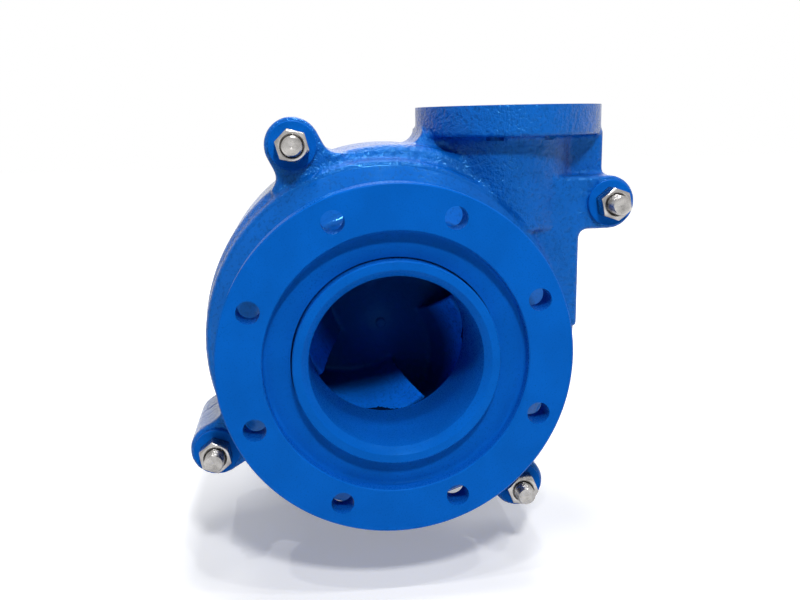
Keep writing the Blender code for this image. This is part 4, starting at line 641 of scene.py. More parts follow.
def hexagon(flat, front, rear, turn=0.0):
    corners = around(6, flat / 2 / math.cos(math.pi / 6), turn)
    return plate(corners, front, rear)


def cast(solids, grain, ease):
    """Fuses solids into one casting: remeshed on a fine grid, its corners and roots eased by smoothing."""
    piece = gathered(solids)
    modify(piece, "REMESH", mode="VOXEL", voxel_size=grain)
    modify(piece, "SMOOTH", factor=0.5, iterations=ease)
    return applied(piece)


def eased_edges(obj, width, steps=2):
    """Breaks the sharp edges of a machined solid."""
    modify(obj, "BEVEL", width=width, segments=steps, limit_method="ANGLE", angle_limit=math.radians(40))
    return applied(obj)


def fitted(name, solid, body, nodes, finish, sharp_from=math.radians(35)):
    """Puts a finished piece in the pump: named, in place, shaded, painted and riding on its body."""
    mesh = solid.data
    mesh.transform(Matrix.Translation(FACE_CENTRE))
    mesh.name = name
    mesh.shade_smooth()
    mesh.set_sharp_from_angle(angle=sharp_from)
    mesh.materials.clear()
    mesh.materials.append(finish)
    solid.name = name
    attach(solid, body)
    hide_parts(*nodes)
    return solid


def second_finish(piece, finish, belongs):
    """Gives the faces whose centre belongs, in drawing coordinates, a second finish."""
    piece.data.materials.append(finish)
    for face in piece.data.polygons:
        if belongs(face.center - FACE_CENTRE, face.normal):
            face.material_index = len(piece.data.materials) - 1


class Value:
    """A shader socket that can be used in an expression; each operator adds its Math node."""

    def __init__(self, graph, socket):
        self.graph = graph
        self.socket = socket

    def math(self, operation, *others):
        inputs = dict(enumerate((self, *others)))
        return self.graph.add("ShaderNodeMath", {"operation": operation}, inputs)

    def __add__(self, other):
        return self.math("ADD", other)

    __radd__ = __add__

    def __sub__(self, other):
        return self.math("SUBTRACT", other)

    def __rsub__(self, other):
        return self.graph.add("ShaderNodeMath", {"operation": "SUBTRACT"}, {0: other, 1: self})

    def __mul__(self, other):
        return self.math("MULTIPLY", other)

    __rmul__ = __mul__

    def __truediv__(self, other):
        return self.math("DIVIDE", other)

    def __rtruediv__(self, other):
        return self.graph.add("ShaderNodeMath", {"operation": "DIVIDE"}, {0: other, 1: self})

    def __pow__(self, other):
        return self.math("POWER", other)

    def clamped(self):
        return self.graph.add("ShaderNodeClamp", {}, {"Value": self})

    def beside(self, output):
        """Another output of the same node."""
        return Value(self.graph, self.socket.node.outputs[output])


class Graph:
    """The node tree of a finish, or of the surroundings, round its shader."""

    def __init__(self, owner, shader="Principled BSDF"):
        self.owner = owner
        self.owner.use_nodes = True
        self.tree = self.owner.node_tree
        self.shader = self.tree.nodes[shader]

    def add(self, kind, settings, inputs, output=0):
        """Adds a node: its settings first, then a value or a link for each named socket."""
        node = self.tree.nodes.new(kind)
        for key, value in settings.items():
            setattr(node, key, value)
        for key, value in inputs.items():
            self.feed(node.inputs[key], value)
        return Value(self, node.outputs[output])

    def feed(self, socket, value):
        if isinstance(value, Value):
            self.tree.links.new(value.socket, socket)
        else:
            socket.default_value = value

    def surface(self, **values):
        """Sets or links the shader's sockets, named with _ for each space."""
        for key, value in values.items():
            self.feed(self.shader.inputs[key.replace("_", " ")], value)
        return self.owner

    def place(self):
        return self.add("ShaderNodeTexCoord", {}, {}, "Object")

    def stretched(self, place, scales):
        return self.add("ShaderNodeVectorMath", {"operation": "MULTIPLY"}, {0: place, 1: scales})

    def noise(self, place, scale, detail=2.0, roughness=0.5, warp=0.0):
        inputs = {
            "Vector": place, "Scale": scale, "Detail": detail, "Roughness": roughness, "Distortion": warp
        }
        return self.add("ShaderNodeTexNoise", {}, inputs, "Fac")

    def between(self, value, low, high, first=0.0, last=1.0):
        inputs = {"Value": value, "From Min": low, "From Max": high, "To Min": first, "To Max": last}
        return self.add("ShaderNodeMapRange", {"clamp": True}, inputs)

    def blended(self, share, one, two):
        settings = {"data_type": "RGBA"}
        return self.add("ShaderNodeMix", settings, {0: share, 6: one, 7: two}, 2)

    def raised(self, height, distance):
        return self.add("ShaderNodeBump", {}, {"Height": height, "Distance": distance}, "Normal")

    def ray(self, kind):
        return self.add("ShaderNodeLightPath", {}, {}, kind)

    def about_shaft(self):
        """Offsets across and up from the shaft line, the depth, and the distance from that line."""
        x = self.add("ShaderNodeSeparateXYZ", {}, {0: self.place()})
        depth, z = x.beside(1), x.beside(2)
        across, up = x - FACE_CENTRE.x, z - FACE_CENTRE.z
        return across, up, depth, (across * across + up * up) ** 0.5

    def vector(self, x, y, z):
        return self.add("ShaderNodeCombineXYZ", {}, {0: x, 1: y, 2: z})


def finish_graph(name):
    return Graph(bpy.data.materials.new(name))


def tinted(colour, share):
    return tuple(channel * share for channel in colour[:3]) + (1,)


def brushed_paint(name, settings, relief, bell=False, tone=1.0, shine=0.55, painted_shade_from=None):
    """Thick glossy paint laid by brush on a rough casting: lumps and strokes round the shaft, painted shade
    in the hollows of its relief, and, when a start depth is given, painted shade that darkens it deeper in.
    """
    graph = finish_graph(name)
    place = graph.place()
    across, up, depth, radius = graph.about_shaft()
    along = graph.vector(across / radius, up / radius, (radius + depth) * 9)
    strokes = graph.noise(along, 7.0, 3, 0.6)
    lumps = graph.noise(place, 120.0, 2, 0.55, 0.3)
    grit = graph.noise(place, 300.0, 2, 0.6, 0.2)
    cloud = graph.noise(place, 14.0, 2)
    height = lumps * 0.4 + grit * 0.45 + strokes * 0.15
    if bell:
        outside = graph.between(radius, BELL_RADIUS - BELL_FADE, BELL_RADIUS + BELL_FADE)
        ledge = FACE_CENTRE.y + BELL_DEPTH
        behind = graph.between(depth, ledge - 0.002, ledge + 0.004)
        rough = (outside + behind).clamped()
        height = height * (rough * 0.92 + 0.08)
    shade = graph.between(cloud * 0.6 + strokes * 0.4, 0.35, 0.65)
    colour = graph.blended(shade, tinted(settings.paint, 0.86 * tone), tinted(settings.paint, 1.05 * tone))
    # Painted shade: the colour darkens where the grit relief is low, standing in for shade in its hollows
    painted_relief_shade = graph.between(grit, 0.3, 0.5)
    colour = graph.blended(painted_relief_shade, tinted(settings.paint, 0.68 * tone), colour)
    # Painted shade: past the given depth the colour darkens over a short run, standing in for the shade in
    # deep passages
    if painted_shade_from is not None:
        painted_depth_shade = graph.between(depth, FACE_CENTRE.y + painted_shade_from, FACE_CENTRE.y + painted_shade_from + PAINTED_SHADE_RUN)
        colour = graph.blended(painted_depth_shade, colour, tinted(settings.paint, 0.28 * tone))
    gloss = graph.between(grit, 0.3, 0.7, settings.paint_roughness * 1.6, settings.paint_roughness * 0.7)
    normal = graph.raised(height, settings.relief * relief)
    return graph.surface(
        Base_Color=colour, Roughness=gloss, Normal=normal, Specular_IOR_Level=shine,
        Specular_Tint=PAINT_SHEEN,
    )


def smooth_paint(name, settings, tone=1.0):
    """The same paint on a machined face: a fine even skin with faint tool rings under it."""
    graph = finish_graph(name)
    place = graph.place()
    _, _, depth, radius = graph.about_shaft()
    rings = graph.noise(graph.vector(radius, depth, 0.0), 900.0, 1)
    skin = graph.noise(place, 620.0, 2, 0.6)
    cloud = graph.noise(place, 22.0, 3)
    shade = graph.between(cloud, 0.35, 0.65)
    colour = graph.blended(shade, tinted(settings.paint, 0.95 * tone), tinted(settings.paint, 1.08 * tone))
    specks = graph.between(skin, 0.3, 0.42)
    colour = graph.blended(specks, tinted(settings.paint, 0.8 * tone), colour)
    gloss = graph.between(skin, 0.3, 0.7, 0.22, 0.34)
    normal = graph.raised(skin * 0.7 + rings * 0.3, SKIN_RELIEF)
    return graph.surface(
        Base_Color=colour, Roughness=gloss, Normal=normal, Specular_IOR_Level=0.06,
        Specular_Tint=PAINT_SHEEN,
    )


def plated_steel(name, colour, roughness):
    """Bright zinc or nickel plating with fine scuffs and slightly darker hollows."""
    graph = finish_graph(name)
    place = graph.place()
    scuffs = graph.noise(graph.stretched(place, (1, 6, 1)), 260.0, 4, 0.65)
    stain = graph.noise(place, 70.0, 2)
    shade = graph.between(stain, 0.3, 0.7)
    tone = graph.blended(shade, tinted(colour, 0.5), tinted(colour, 1.08))
    gloss = graph.between(scuffs, 0.3, 0.75, roughness * 0.7, roughness * 1.6)
    normal = graph.raised(scuffs, SCUFF_RELIEF)
    return graph.surface(Base_Color=tone, Roughness=gloss, Metallic=1.0, Normal=normal)


def machined_steel(name, colour):
    """Turned steel: fine tool rings along the shaft, a film of oil in patches."""
    graph = finish_graph(name)
    place = graph.place()
    rings = graph.noise(graph.stretched(place, (2, 1400, 2)), 1.0, 2)
    film = graph.noise(place, 30.0, 3)
    tone = graph.blended(graph.between(film, 0.4, 0.62), tinted(colour, 0.7), tinted(colour, 1.0))
    gloss = graph.between(film, 0.35, 0.65, 0.22, 0.42)
    normal = graph.raised(rings, TURNED_RELIEF)
    return graph.surface(Base_Color=tone, Roughness=gloss, Metallic=1.0, Normal=normal)


def hard_iron(name, colour):
    """Unpainted hard white iron: sandy cast skin with a little rust in the hollows."""
    graph = finish_graph(name)
    place = graph.place()
    sand = graph.noise(place, 420.0, 4, 0.65)
    blotch = graph.noise(place, 45.0, 3)
    rust = graph.between(blotch, 0.56, 0.7)
    tone = graph.blended(rust, tinted(colour, 1.0), RUST_COLOUR)
    normal = graph.raised(sand, SAND_RELIEF)
    return graph.surface(Base_Color=tone, Roughness=0.55, Metallic=0.75, Normal=normal)


def seal_rubber(name, colour):
    """Moulded black rubber with a faint bloom."""
    graph = finish_graph(name)
    place = graph.place()
    bloom = graph.noise(place, 60.0, 3)
    grain = graph.noise(place, 700.0, 2)
    tone = graph.blended(graph.between(bloom, 0.4, 0.7), tinted(colour, 1.0), BLOOM_COLOUR)
    normal = graph.raised(grain, RUBBER_RELIEF)
    return graph.surface(Base_Color=tone, Roughness=0.72, Normal=normal)


def packing_yarn(name, colour):
    """Braided gland packing, soaked with grease."""
    graph = finish_graph(name)
    place = graph.place()
    weave = graph.add(
        "ShaderNodeTexWave", {"wave_type": "BANDS", "bands_direction": "DIAGONAL"},
        {"Vector": place, "Scale": 140.0, "Distortion": 2.0}, "Fac",
    )
    tone = graph.blended(weave, tinted(colour, 0.55), tinted(colour, 1.1))
    return graph.surface(Base_Color=tone, Roughness=0.8, Normal=graph.raised(weave, WEAVE_RELIEF))


def aged_brass(name, colour):
    """Brass fittings with a dull film."""
    graph = finish_graph(name)
    place = graph.place()
    film = graph.noise(place, 120.0, 3)
    tone = graph.blended(graph.between(film, 0.35, 0.65), tinted(colour, 0.7), tinted(colour, 1.05))
    gloss = graph.between(film, 0.35, 0.65, 0.45, 0.28)
    return graph.surface(Base_Color=tone, Roughness=gloss, Metallic=1.0)


def lug_outline(centre, radius):
    """A lug that grows out of the round casing with cast fillets at its root."""
    reach = Vector(centre) - Vector(CASING_CENTRE)
    away = reach.normalized()
    side = Vector((-away.y, away.x))
    fillet_side = radius + CASTING_FILLET
    fillet_reach = math.sqrt((CASING_RADIUS + CASTING_FILLET) ** 2 - fillet_side**2)
    lean = math.atan2(fillet_side, fillet_reach)
    half = [(0, 0)]
    half += arc((fillet_reach, fillet_side), CASTING_FILLET, lean - math.pi, -RIGHT_ANGLE)
    half += arc((reach.length, 0), radius, RIGHT_ANGLE, 0, 20)
    mirrored = [(u, -v) for u, v in reversed(half[1:-1])]
    base = Vector(CASING_CENTRE)
    return [tuple(base + away * u + side * v) for u, v in half + mirrored]


def arm_outline():
    """The upright right wall and the level arm that carries the fourth bolt."""
    x, z = LUG_BOLTS[-1]
    low = z - LUG_RADIUS
    corner = CASTING_FILLET / 2
    outline = [CASING_CENTRE, (RIGHT_WALL, CASING_CENTRE[1])]
    outline += arc((RIGHT_WALL + corner, low - corner), corner, math.pi, RIGHT_ANGLE)
    outline += arc((x, z), LUG_RADIUS, -RIGHT_ANGLE, RIGHT_ANGLE, 30)
    outline.append((CASING_CENTRE[0], z + LUG_RADIUS))
    return outline


def web_outline():
    """The flat web under the discharge flange, run out onto the round casing with a fillet."""
    x, z = CASING_CENTRE
    run = CASING_RADIUS + CASTING_FILLET
    fillet_x = WEB_LEFT - CASTING_FILLET
    fillet_z = z + math.sqrt(run**2 - (fillet_x - x) ** 2)
    towards = math.atan2(z - fillet_z, x - fillet_x)
    top = DISCHARGE_TOP - DISCHARGE_THICKNESS + OVERRUN
    outline = [(WEB_LEFT, top)]
    outline += arc((fillet_x, fillet_z), CASTING_FILLET, 0, towards)
    outline += [(x, LUG_BOLTS[-1][1]), (WEB_RIGHT, LUG_BOLTS[-1][1]), (WEB_RIGHT, top)]
    return outline


def discharge_branch():
    """The round branch and its flange, whole: each casing half keeps its side of the split."""
    under = DISCHARGE_TOP - DISCHARGE_THICKNESS
    high = DISCHARGE_TOP + OVERRUN
    return [
        upright(BRANCH_X, SPLIT, BRANCH_RADIUS, BRANCH_FOOT, under + OVERRUN, 96),
        upright(DISCHARGE_X, SPLIT, DISCHARGE_RADIUS, under, high, 128),
    ]


def discharge_cutters():
    """The machined top of the discharge flange, the room for the liner and its seal, and the bolt holes."""
    high = DISCHARGE_TOP + 2 * OVERRUN
    seal_foot = DISCHARGE_TOP - SEAL_HEIGHT - SEAT_GAP
    holes = around(8, DISCHARGE_BOLT_CIRCLE, math.pi / 8, (DISCHARGE_X, SPLIT))
    low = DISCHARGE_TOP - DISCHARGE_THICKNESS - OVERRUN
    return [
        block(THROUGH, THROUGH, (DISCHARGE_TOP, WIDE)),
        upright(DISCHARGE_X, SPLIT, DISCHARGE_NECK_ROOM, LINER_NECK_FOOT, high, 96),
        upright(DISCHARGE_X, SPLIT, SEAL_ROOM_RADIUS, seal_foot, high, 96),
        *[upright(x, depth, DISCHARGE_HOLE_RADIUS, low, high, 32) for x, depth in holes],
    ]


def casing_lugs(front, rear):
    lugs = [plate(lug_outline(place, LUG_RADIUS), front, rear) for place in LUG_BOLTS[:-1]]
    return [*lugs, plate(arm_outline(), front, rear)]


def lug_holes(front, rear):
    return [bar(place, COVER_HOLE_RADIUS, front, rear, 40) for place in LUG_BOLTS]


def suction_bell():
    """Suction flange, neck and the flared bell, turned about the shaft line."""
    waist = FLANGE_THICKNESS + NECK_ROUND
    flare = BELL_DEPTH - BELL_RISE
    slope = (BELL_RADIUS - NECK_RADIUS) / BELL_RISE
    profile = [(0, CAST_FACE), (FLANGE_RADIUS, CAST_FACE), (FLANGE_RADIUS, FLANGE_THICKNESS)]
    profile += arc((NECK_RADIUS + NECK_ROUND, waist), NECK_ROUND, -RIGHT_ANGLE, -math.pi, 8)
    profile += [
        (NECK_RADIUS, flare - NECK_ROUND),
        (NECK_RADIUS + NECK_ROUND, flare + NECK_ROUND / slope),
        (BELL_RADIUS, BELL_DEPTH),
        (BELL_RADIUS + BELL_LIP, BELL_DEPTH + BELL_LIP),
        (BELL_RADIUS + BELL_LIP, COVER_FACE + OVERRUN),
        (0, COVER_FACE + OVERRUN),
    ]
    return turned(profile, 144)


def smooth_at_front(place, normal):
    """The machined faces of the front casing: flange, recess, lug pads and the split."""
    on_flange = place.y < FLANGE_THICKNESS - NEAR and math.hypot(place.x, place.z) < FLANGE_RADIUS + NEAR
    pad_faces = abs(place.y - (LUG_FACE - PAD_RISE)) < 0.0015 and normal.y < -0.6
    on_pad = pad_faces and any(
        math.hypot(place.x - x, place.z - z) < PAD_RADIUS + NEAR for x, z in LUG_BOLTS
    )
    return on_flange or on_pad or abs(place.y - SPLIT) < NEAR or on_discharge(place, normal)


def make_front_casing(settings):
    beyond = SPLIT + OVERRUN
    split = SPLIT - SEAT_GAP / 2
    rim = [(0, COVER_FACE)]
    rim += arc((CASING_RADIUS - CAST_ROUND, COVER_FACE + CAST_ROUND), CAST_ROUND, -RIGHT_ANGLE, 0, 8)
    rim += [(CASING_RADIUS, beyond), (0, beyond)]
    casting = cast(
        [
            turned(rim, 144, CASING_CENTRE), suction_bell(), *casing_lugs(LUG_FACE, beyond),
            plate(web_outline(), WEB_FRONT, beyond), *discharge_branch(),
        ],
        settings.grain, settings.ease,
    )
    pad_face = LUG_FACE - PAD_RISE
    pads = [bar(place, PAD_RADIUS, pad_face, COVER_FACE + OVERRUN, 72, PAD_EDGE) for place in LUG_BOLTS]
    flange = bar((0, 0), FLANGE_RADIUS, 0, FLANGE_TURNED, 160, SOFT_EDGE)
    disc = THROAT_DISC_RADIUS + SEAT_GAP
    seal = disc + SUCTION_SEAL_WIDTH
    recess = [
        (0, -OVERRUN), (RECESS_RADIUS + OVERRUN + SPIGOT_EDGE, -OVERRUN), (RECESS_RADIUS, SPIGOT_EDGE),
    ]
    recess += arc(
        (RECESS_RADIUS - RECESS_ROUND, RECESS_DEPTH - RECESS_ROUND), RECESS_ROUND, 0, RIGHT_ANGLE, 6
    )
    recess += [
        (THROAT_ROOM_RADIUS, RECESS_DEPTH), (THROAT_ROOM_RADIUS, THROAT_DISC_DEPTH),
        (disc, THROAT_DISC_DEPTH), (disc, COVER_CAVITY - SUCTION_SEAL_LENGTH),
        (seal, COVER_CAVITY - SUCTION_SEAL_LENGTH), (seal, COVER_CAVITY + OVERRUN),
        (0, COVER_CAVITY + OVERRUN),
    ]
    holes = around(HOLE_COUNT, BOLT_CIRCLE_RADIUS, math.pi / HOLE_COUNT)
    casing = cut(
        joined(casting, flange, *pads),
        block(THROUGH, (split, WIDE), THROUGH),
        turned(recess, 144),
        bar(CASING_CENTRE, CASING_RADIUS - CASING_WALL, COVER_CAVITY, WIDE, 144),
        *[bar(hole, HOLE_RADIUS, -OVERRUN, FLANGE_THICKNESS + HOLE_RUN, 48) for hole in holes],
        *lug_holes(pad_face - OVERRUN, WIDE),
        *discharge_cutters(),
    )
    rough = brushed_paint("blue_cast_paint", settings, 1.0, True)
    piece = fitted("front_casing", casing, "casing", ["cover_plate"], rough)
    second_finish(piece, smooth_paint("blue_machined_paint", settings), smooth_at_front)


def make_throat(settings):
    face = THROAT_MOUTH_RADIUS + THROAT_CHAMFER
    edge = SOFT_EDGE
    profile = [
        (face + edge / 2, 0), (THROAT_RING_RADIUS - edge, 0), (THROAT_RING_RADIUS, edge),
        (THROAT_RING_RADIUS, THROAT_DISC_DEPTH + SEAT_GAP),
        (THROAT_DISC_RADIUS, THROAT_DISC_DEPTH + SEAT_GAP), (THROAT_DISC_RADIUS, THROAT_INNER_DEPTH),
        (THROAT_BORE_RADIUS + edge, THROAT_INNER_DEPTH), (THROAT_BORE_RADIUS, THROAT_INNER_DEPTH - edge),
        (THROAT_MOUTH_RADIUS, THROAT_CHAMFER + edge), (THROAT_MOUTH_RADIUS + edge / 3, THROAT_CHAMFER),
        (face - edge / 3, edge / 2),
    ]
    finish = smooth_paint("blue_throat_paint", settings)
    sharp = math.radians(25)
    fitted("throat", turned(profile, 144), "casing", ["throatbush"], finish, sharp)


def hub_depth(radius):
    """Depth of the hub's domed front, which runs out flat onto the rear shroud."""
    share = min(radius / HUB_FOOT_RADIUS, 1)
    return HUB_NOSE_DEPTH + (REAR_SHROUD_FRONT - HUB_NOSE_DEPTH) * (1 - math.cos(math.pi * share)) / 2


def vane_point(lead_angle, along, across):
    """A point of the twisted vane: along runs from the eye to the rim, across from hub to shroud."""
    rim = IMPELLER_RADIUS - VANE_THICKNESS / 2
    hub_radius = HUB_TIP_RADIUS + (rim - HUB_TIP_RADIUS) * along**HUB_RUN_SHARE
    shroud_radius = VANE_TIP_RADIUS + (rim - VANE_TIP_RADIUS) * along**SHROUD_RUN_SHARE
    hub_turn = VANE_HUB_LAG + (VANE_WRAP - VANE_HUB_LAG) * along**HUB_TURN_SHARE
    shroud_turn = VANE_WRAP * along
    radius = hub_radius + (shroud_radius - hub_radius) * across
    angle = lead_angle - hub_turn - (shroud_turn - hub_turn) * across
    low = hub_depth(hub_radius) + VANE_SINK
    high = IMPELLER_FRONT + VANE_RECESS
    return Vector((radius * math.cos(angle), low + (high - low) * across, radius * math.sin(angle)))


def vane(lead_angle):
    points = [
        vane_point(lead_angle, i / VANE_STEPS, j / VANE_SPAN_STEPS)
        for i in range(VANE_STEPS + 1)
        for j in range(VANE_SPAN_STEPS + 1)
    ]
    span = VANE_SPAN_STEPS + 1
    faces = [
        (i * span + j, (i + 1) * span + j, (i + 1) * span + j + 1, i * span + j + 1)
        for i in range(VANE_STEPS)
        for j in range(VANE_SPAN_STEPS)
    ]
    blade = solid_of(points, faces)
    modify(blade, "SOLIDIFY", thickness=VANE_THICKNESS, offset=0, use_even_offset=True)
    return applied(blade)


def make_impeller(settings):
    lip = SHROUD_THICKNESS / 2
    eye = EYE_RADIUS + EYE_RELIEF
    front_shroud = [(IMPELLER_RADIUS, IMPELLER_FRONT), (IMPELLER_RADIUS, IMPELLER_FRONT + SHROUD_THICKNESS)]
    front_shroud += arc(
        (eye + lip, IMPELLER_FRONT + SHROUD_THICKNESS - lip), lip, RIGHT_ANGLE, 1.5 * math.pi, 14
    )
    start = NUB_RADIUS * 1.3
    radii = [start + (HUB_FOOT_RADIUS - start) * i / 24 for i in range(25)]
    hub = [(0, HUB_NOSE_DEPTH)] + [(radius, hub_depth(radius)) for radius in radii]
    nub = bar((0, 0), NUB_RADIUS, HUB_NOSE_DEPTH - NUB_HEIGHT, HUB_NOSE_DEPTH + NUB_HEIGHT, 40, SOFT_EDGE)
    hub += [(IMPELLER_RADIUS, REAR_SHROUD_FRONT), (IMPELLER_RADIUS, REAR_SHROUD_REAR)]
    hub.append((0, REAR_SHROUD_REAR))
    vanes = [vane(VANE_LEAD_ANGLE + FULL_TURN * i / VANE_COUNT) for i in range(VANE_COUNT)]
    casting = cast([turned(hub, 96), turned(front_shroud, 96), *vanes], IMPELLER_GRAIN, IMPELLER_EASE)
    boss = ring(HUB_BOSS_BORE, HUB_BOSS_RADIUS, REAR_SHROUD_REAR - OVERRUN, HUB_BOSS_DEPTH, 72, FINE_EDGE)
    ribs = []
    for i in range(EXPELLER_COUNT):
        rib = block(
            (HUB_FOOT_RADIUS, IMPELLER_RADIUS - EXPELLER_WIDTH / 2),
            (REAR_SHROUD_REAR - OVERRUN, REAR_SHROUD_REAR + EXPELLER_HEIGHT),
            (-EXPELLER_WIDTH / 2, EXPELLER_WIDTH / 2),
        )
        rib.data.transform(Matrix.Rotation(FULL_TURN * i / EXPELLER_COUNT, 4, "Y"))
        ribs.append(rib)
    impeller = cut(
        casting,
        block(THROUGH, (REAR_SHROUD_REAR, WIDE), THROUGH),
        bar((0, 0), THREAD_BORE_RADIUS, THREAD_BORE_DEPTH, WIDE, 64),
    )
    joined(impeller, nub, boss, *ribs)
    # Painted light and shade: the impeller gets a much lighter copy of the casings' blue so its vanes look
    # lit, and it darkens deeper in as painted shade
    finish = brushed_paint("blue_impeller_paint", settings, 0.55, tone=1.7, shine=0.12, painted_shade_from=PAINTED_SHADE_DEPTH)
    piece = fitted("impeller", impeller, "rotor", ["impeller"], finish)
    # Painted shade: the shroud round the eye gets paint at a tenth of the blue's brightness, so the gap
    # behind the throat reads dark
    second_finish(piece, smooth_paint("painted_shade_shroud_paint", settings, 0.1), at_front_shroud)


def at_front_shroud(place, normal):
    """The front shroud round the eye, painted nearly black as painted shade for the gap behind the throat.
    """
    round_eye = math.hypot(place.x, place.z) > EYE_RADIUS + EYE_RELIEF / 2
    return round_eye and place.y < IMPELLER_FRONT + SHROUD_THICKNESS + NEAR


def crowned_hexagon(flat, front, rear, turn, both=False):
    """A hexagon whose corners are turned off at the front, or at both ends."""
    corner = flat / 2 / math.cos(math.pi / 6) + CROWN_ROOM
    face = flat * CROWN_SHARE
    slope = (corner - face) * CROWN_SLOPE
    crown = [(0, front), (face, front), (corner, front + slope)]
    if both:
        crown += [(corner, rear - slope), (face, rear), (0, rear)]
    else:
        crown += [(corner, rear), (0, rear)]
    return shared_by(hexagon(flat, front - OVERRUN, rear + OVERRUN, turn), turned(crown, 96))


def countersunk_nut(place, flat, bore, front, rear, turn, both=False):
    """A hexagon nut round a place of the plan, with a chamfered hole and broken edges."""
    sink = COUNTERSINK + OVERRUN
    profile = [
        (0, front - OVERRUN), (bore + sink, front - OVERRUN), (bore, front + COUNTERSINK),
        (bore, rear - COUNTERSINK), (bore + sink, rear + OVERRUN), (0, rear + OVERRUN),
    ]
    nut = cut(crowned_hexagon(flat, front, rear, turn, both), turned(profile, 64))
    return eased_edges(moved(nut, *place), NUT_EDGE)


def make_cover_bolts(settings):
    finish = plated_steel("bright_plating", settings.plating, settings.plating_roughness)
    thread = plated_steel("thread_plating", settings.plating, settings.plating_roughness * 1.3)
    rear = LUG_FACE - PAD_RISE - SEAT_GAP
    front = rear - COVER_NUT_HEIGHT
    tip = front - COVER_BOLT_END
    seat = LUG_REAR + SEAT_GAP
    for i, (place, turn) in enumerate(zip(LUG_BOLTS, COVER_NUT_TURNS), 1):
        nut = countersunk_nut(place, COVER_NUT_FLAT, COVER_BOLT_RADIUS + SEAT_GAP, front, rear, turn)
        fitted(f"casing_nut_{i}", nut, "casing", [f"cover_nut_{i}"], finish)
        head = crowned_hexagon(COVER_NUT_FLAT, seat, seat + COVER_HEAD_HEIGHT, turn, True)
        stud = threaded_bar(COVER_BOLT_RADIUS, tip, rear + COVER_THREAD_RUN, THREAD_PITCH)
        shank = bar((0, 0), COVER_BOLT_RADIUS * COVER_SHANK_SHARE, rear, seat + COVER_HEAD_HEIGHT / 2, 40)
        bolt = moved(gathered([stud, shank, head]), *place)
        fitted(f"casing_bolt_{i}", bolt, "casing", [f"cover_bolt_{i}"], thread)


def make_rear_casing(settings):
    before = SPLIT - OVERRUN
    split = SPLIT + SEAT_GAP / 2
    rim = [(0, before), (CASING_RADIUS, before)]
    rim += arc((CASING_RADIUS - CAST_ROUND, FRAME_REAR - CAST_ROUND), CAST_ROUND, 0, RIGHT_ANGLE, 8)
    rim.append((0, FRAME_REAR))
    casting = cast(
        [
            turned(rim, 144, CASING_CENTRE), *casing_lugs(before, LUG_REAR),
            plate(web_outline(), before, WEB_REAR), *discharge_branch(),
        ],
        settings.grain, settings.ease,
    )
    room = BOX_FLANGE_RADIUS + SEAT_GAP
    box_room = [
        (0, FRAME_CAVITY - OVERRUN), (room, FRAME_CAVITY - OVERRUN), (room, BOX_FLANGE_REAR + SEAT_GAP),
        (BOX_RADIUS + SEAT_GAP, BOX_FLANGE_REAR + SEAT_GAP), (BOX_RADIUS + SEAT_GAP, SPIGOT_REAR + OVERRUN),
        (0, SPIGOT_REAR + OVERRUN),
    ]
    casing = cut(casting, bar(CASING_CENTRE, BACK_CUT_RADIUS, FRAME_REAR, WIDE, 144))
    joined(casing, bar((0, 0), SPIGOT_RADIUS, FRAME_CAVITY, SPIGOT_REAR, 128, SPIGOT_EDGE))
    cut(
        casing,
        block(THROUGH, (-WIDE, split), THROUGH),
        bar(CASING_CENTRE, CASING_RADIUS - CASING_WALL, before, FRAME_CAVITY, 144),
        turned(box_room, 128),
        *lug_holes(before, WIDE),
        *[bar(place, LUG_SEAT_RADIUS, LUG_REAR, WIDE, 48) for place in LUG_BOLTS],
        *[bar(place, BASE_HOLE_RADIUS, BASE_BOLT_TIP - SEAT_GAP, WIDE, 32) for place in base_bolt_places()],
        *discharge_cutters(),
    )
    rough = brushed_paint("blue_rear_cast_paint", settings, 1.0)
    piece = fitted("rear_casing", casing, "casing", ["frame_plate"], rough)
    second_finish(piece, smooth_paint("blue_rear_machined_paint", settings), smooth_at_rear)


def smooth_at_rear(place, normal):
    """The machined faces of the rear casing: split, back, spigot, bolt seats and discharge flange."""
    on_back = place.y > FRAME_REAR - 0.0005 and math.hypot(place.x, place.z) < CASING_RADIUS
    on_seat = abs(place.y - LUG_REAR) < CLOSE and normal.y > FACING
    return on_back or on_seat or abs(place.y - SPLIT) < NEAR or on_discharge(place, normal)


def on_discharge(place, normal):
    """The machined top of the discharge flange."""
    return place.z > DISCHARGE_TOP - CLOSE and normal.z > FACING


def base_bolt_places():
    return around(BASE_BOLT_COUNT, BASE_BOLT_CIRCLE, math.pi / BASE_BOLT_COUNT)


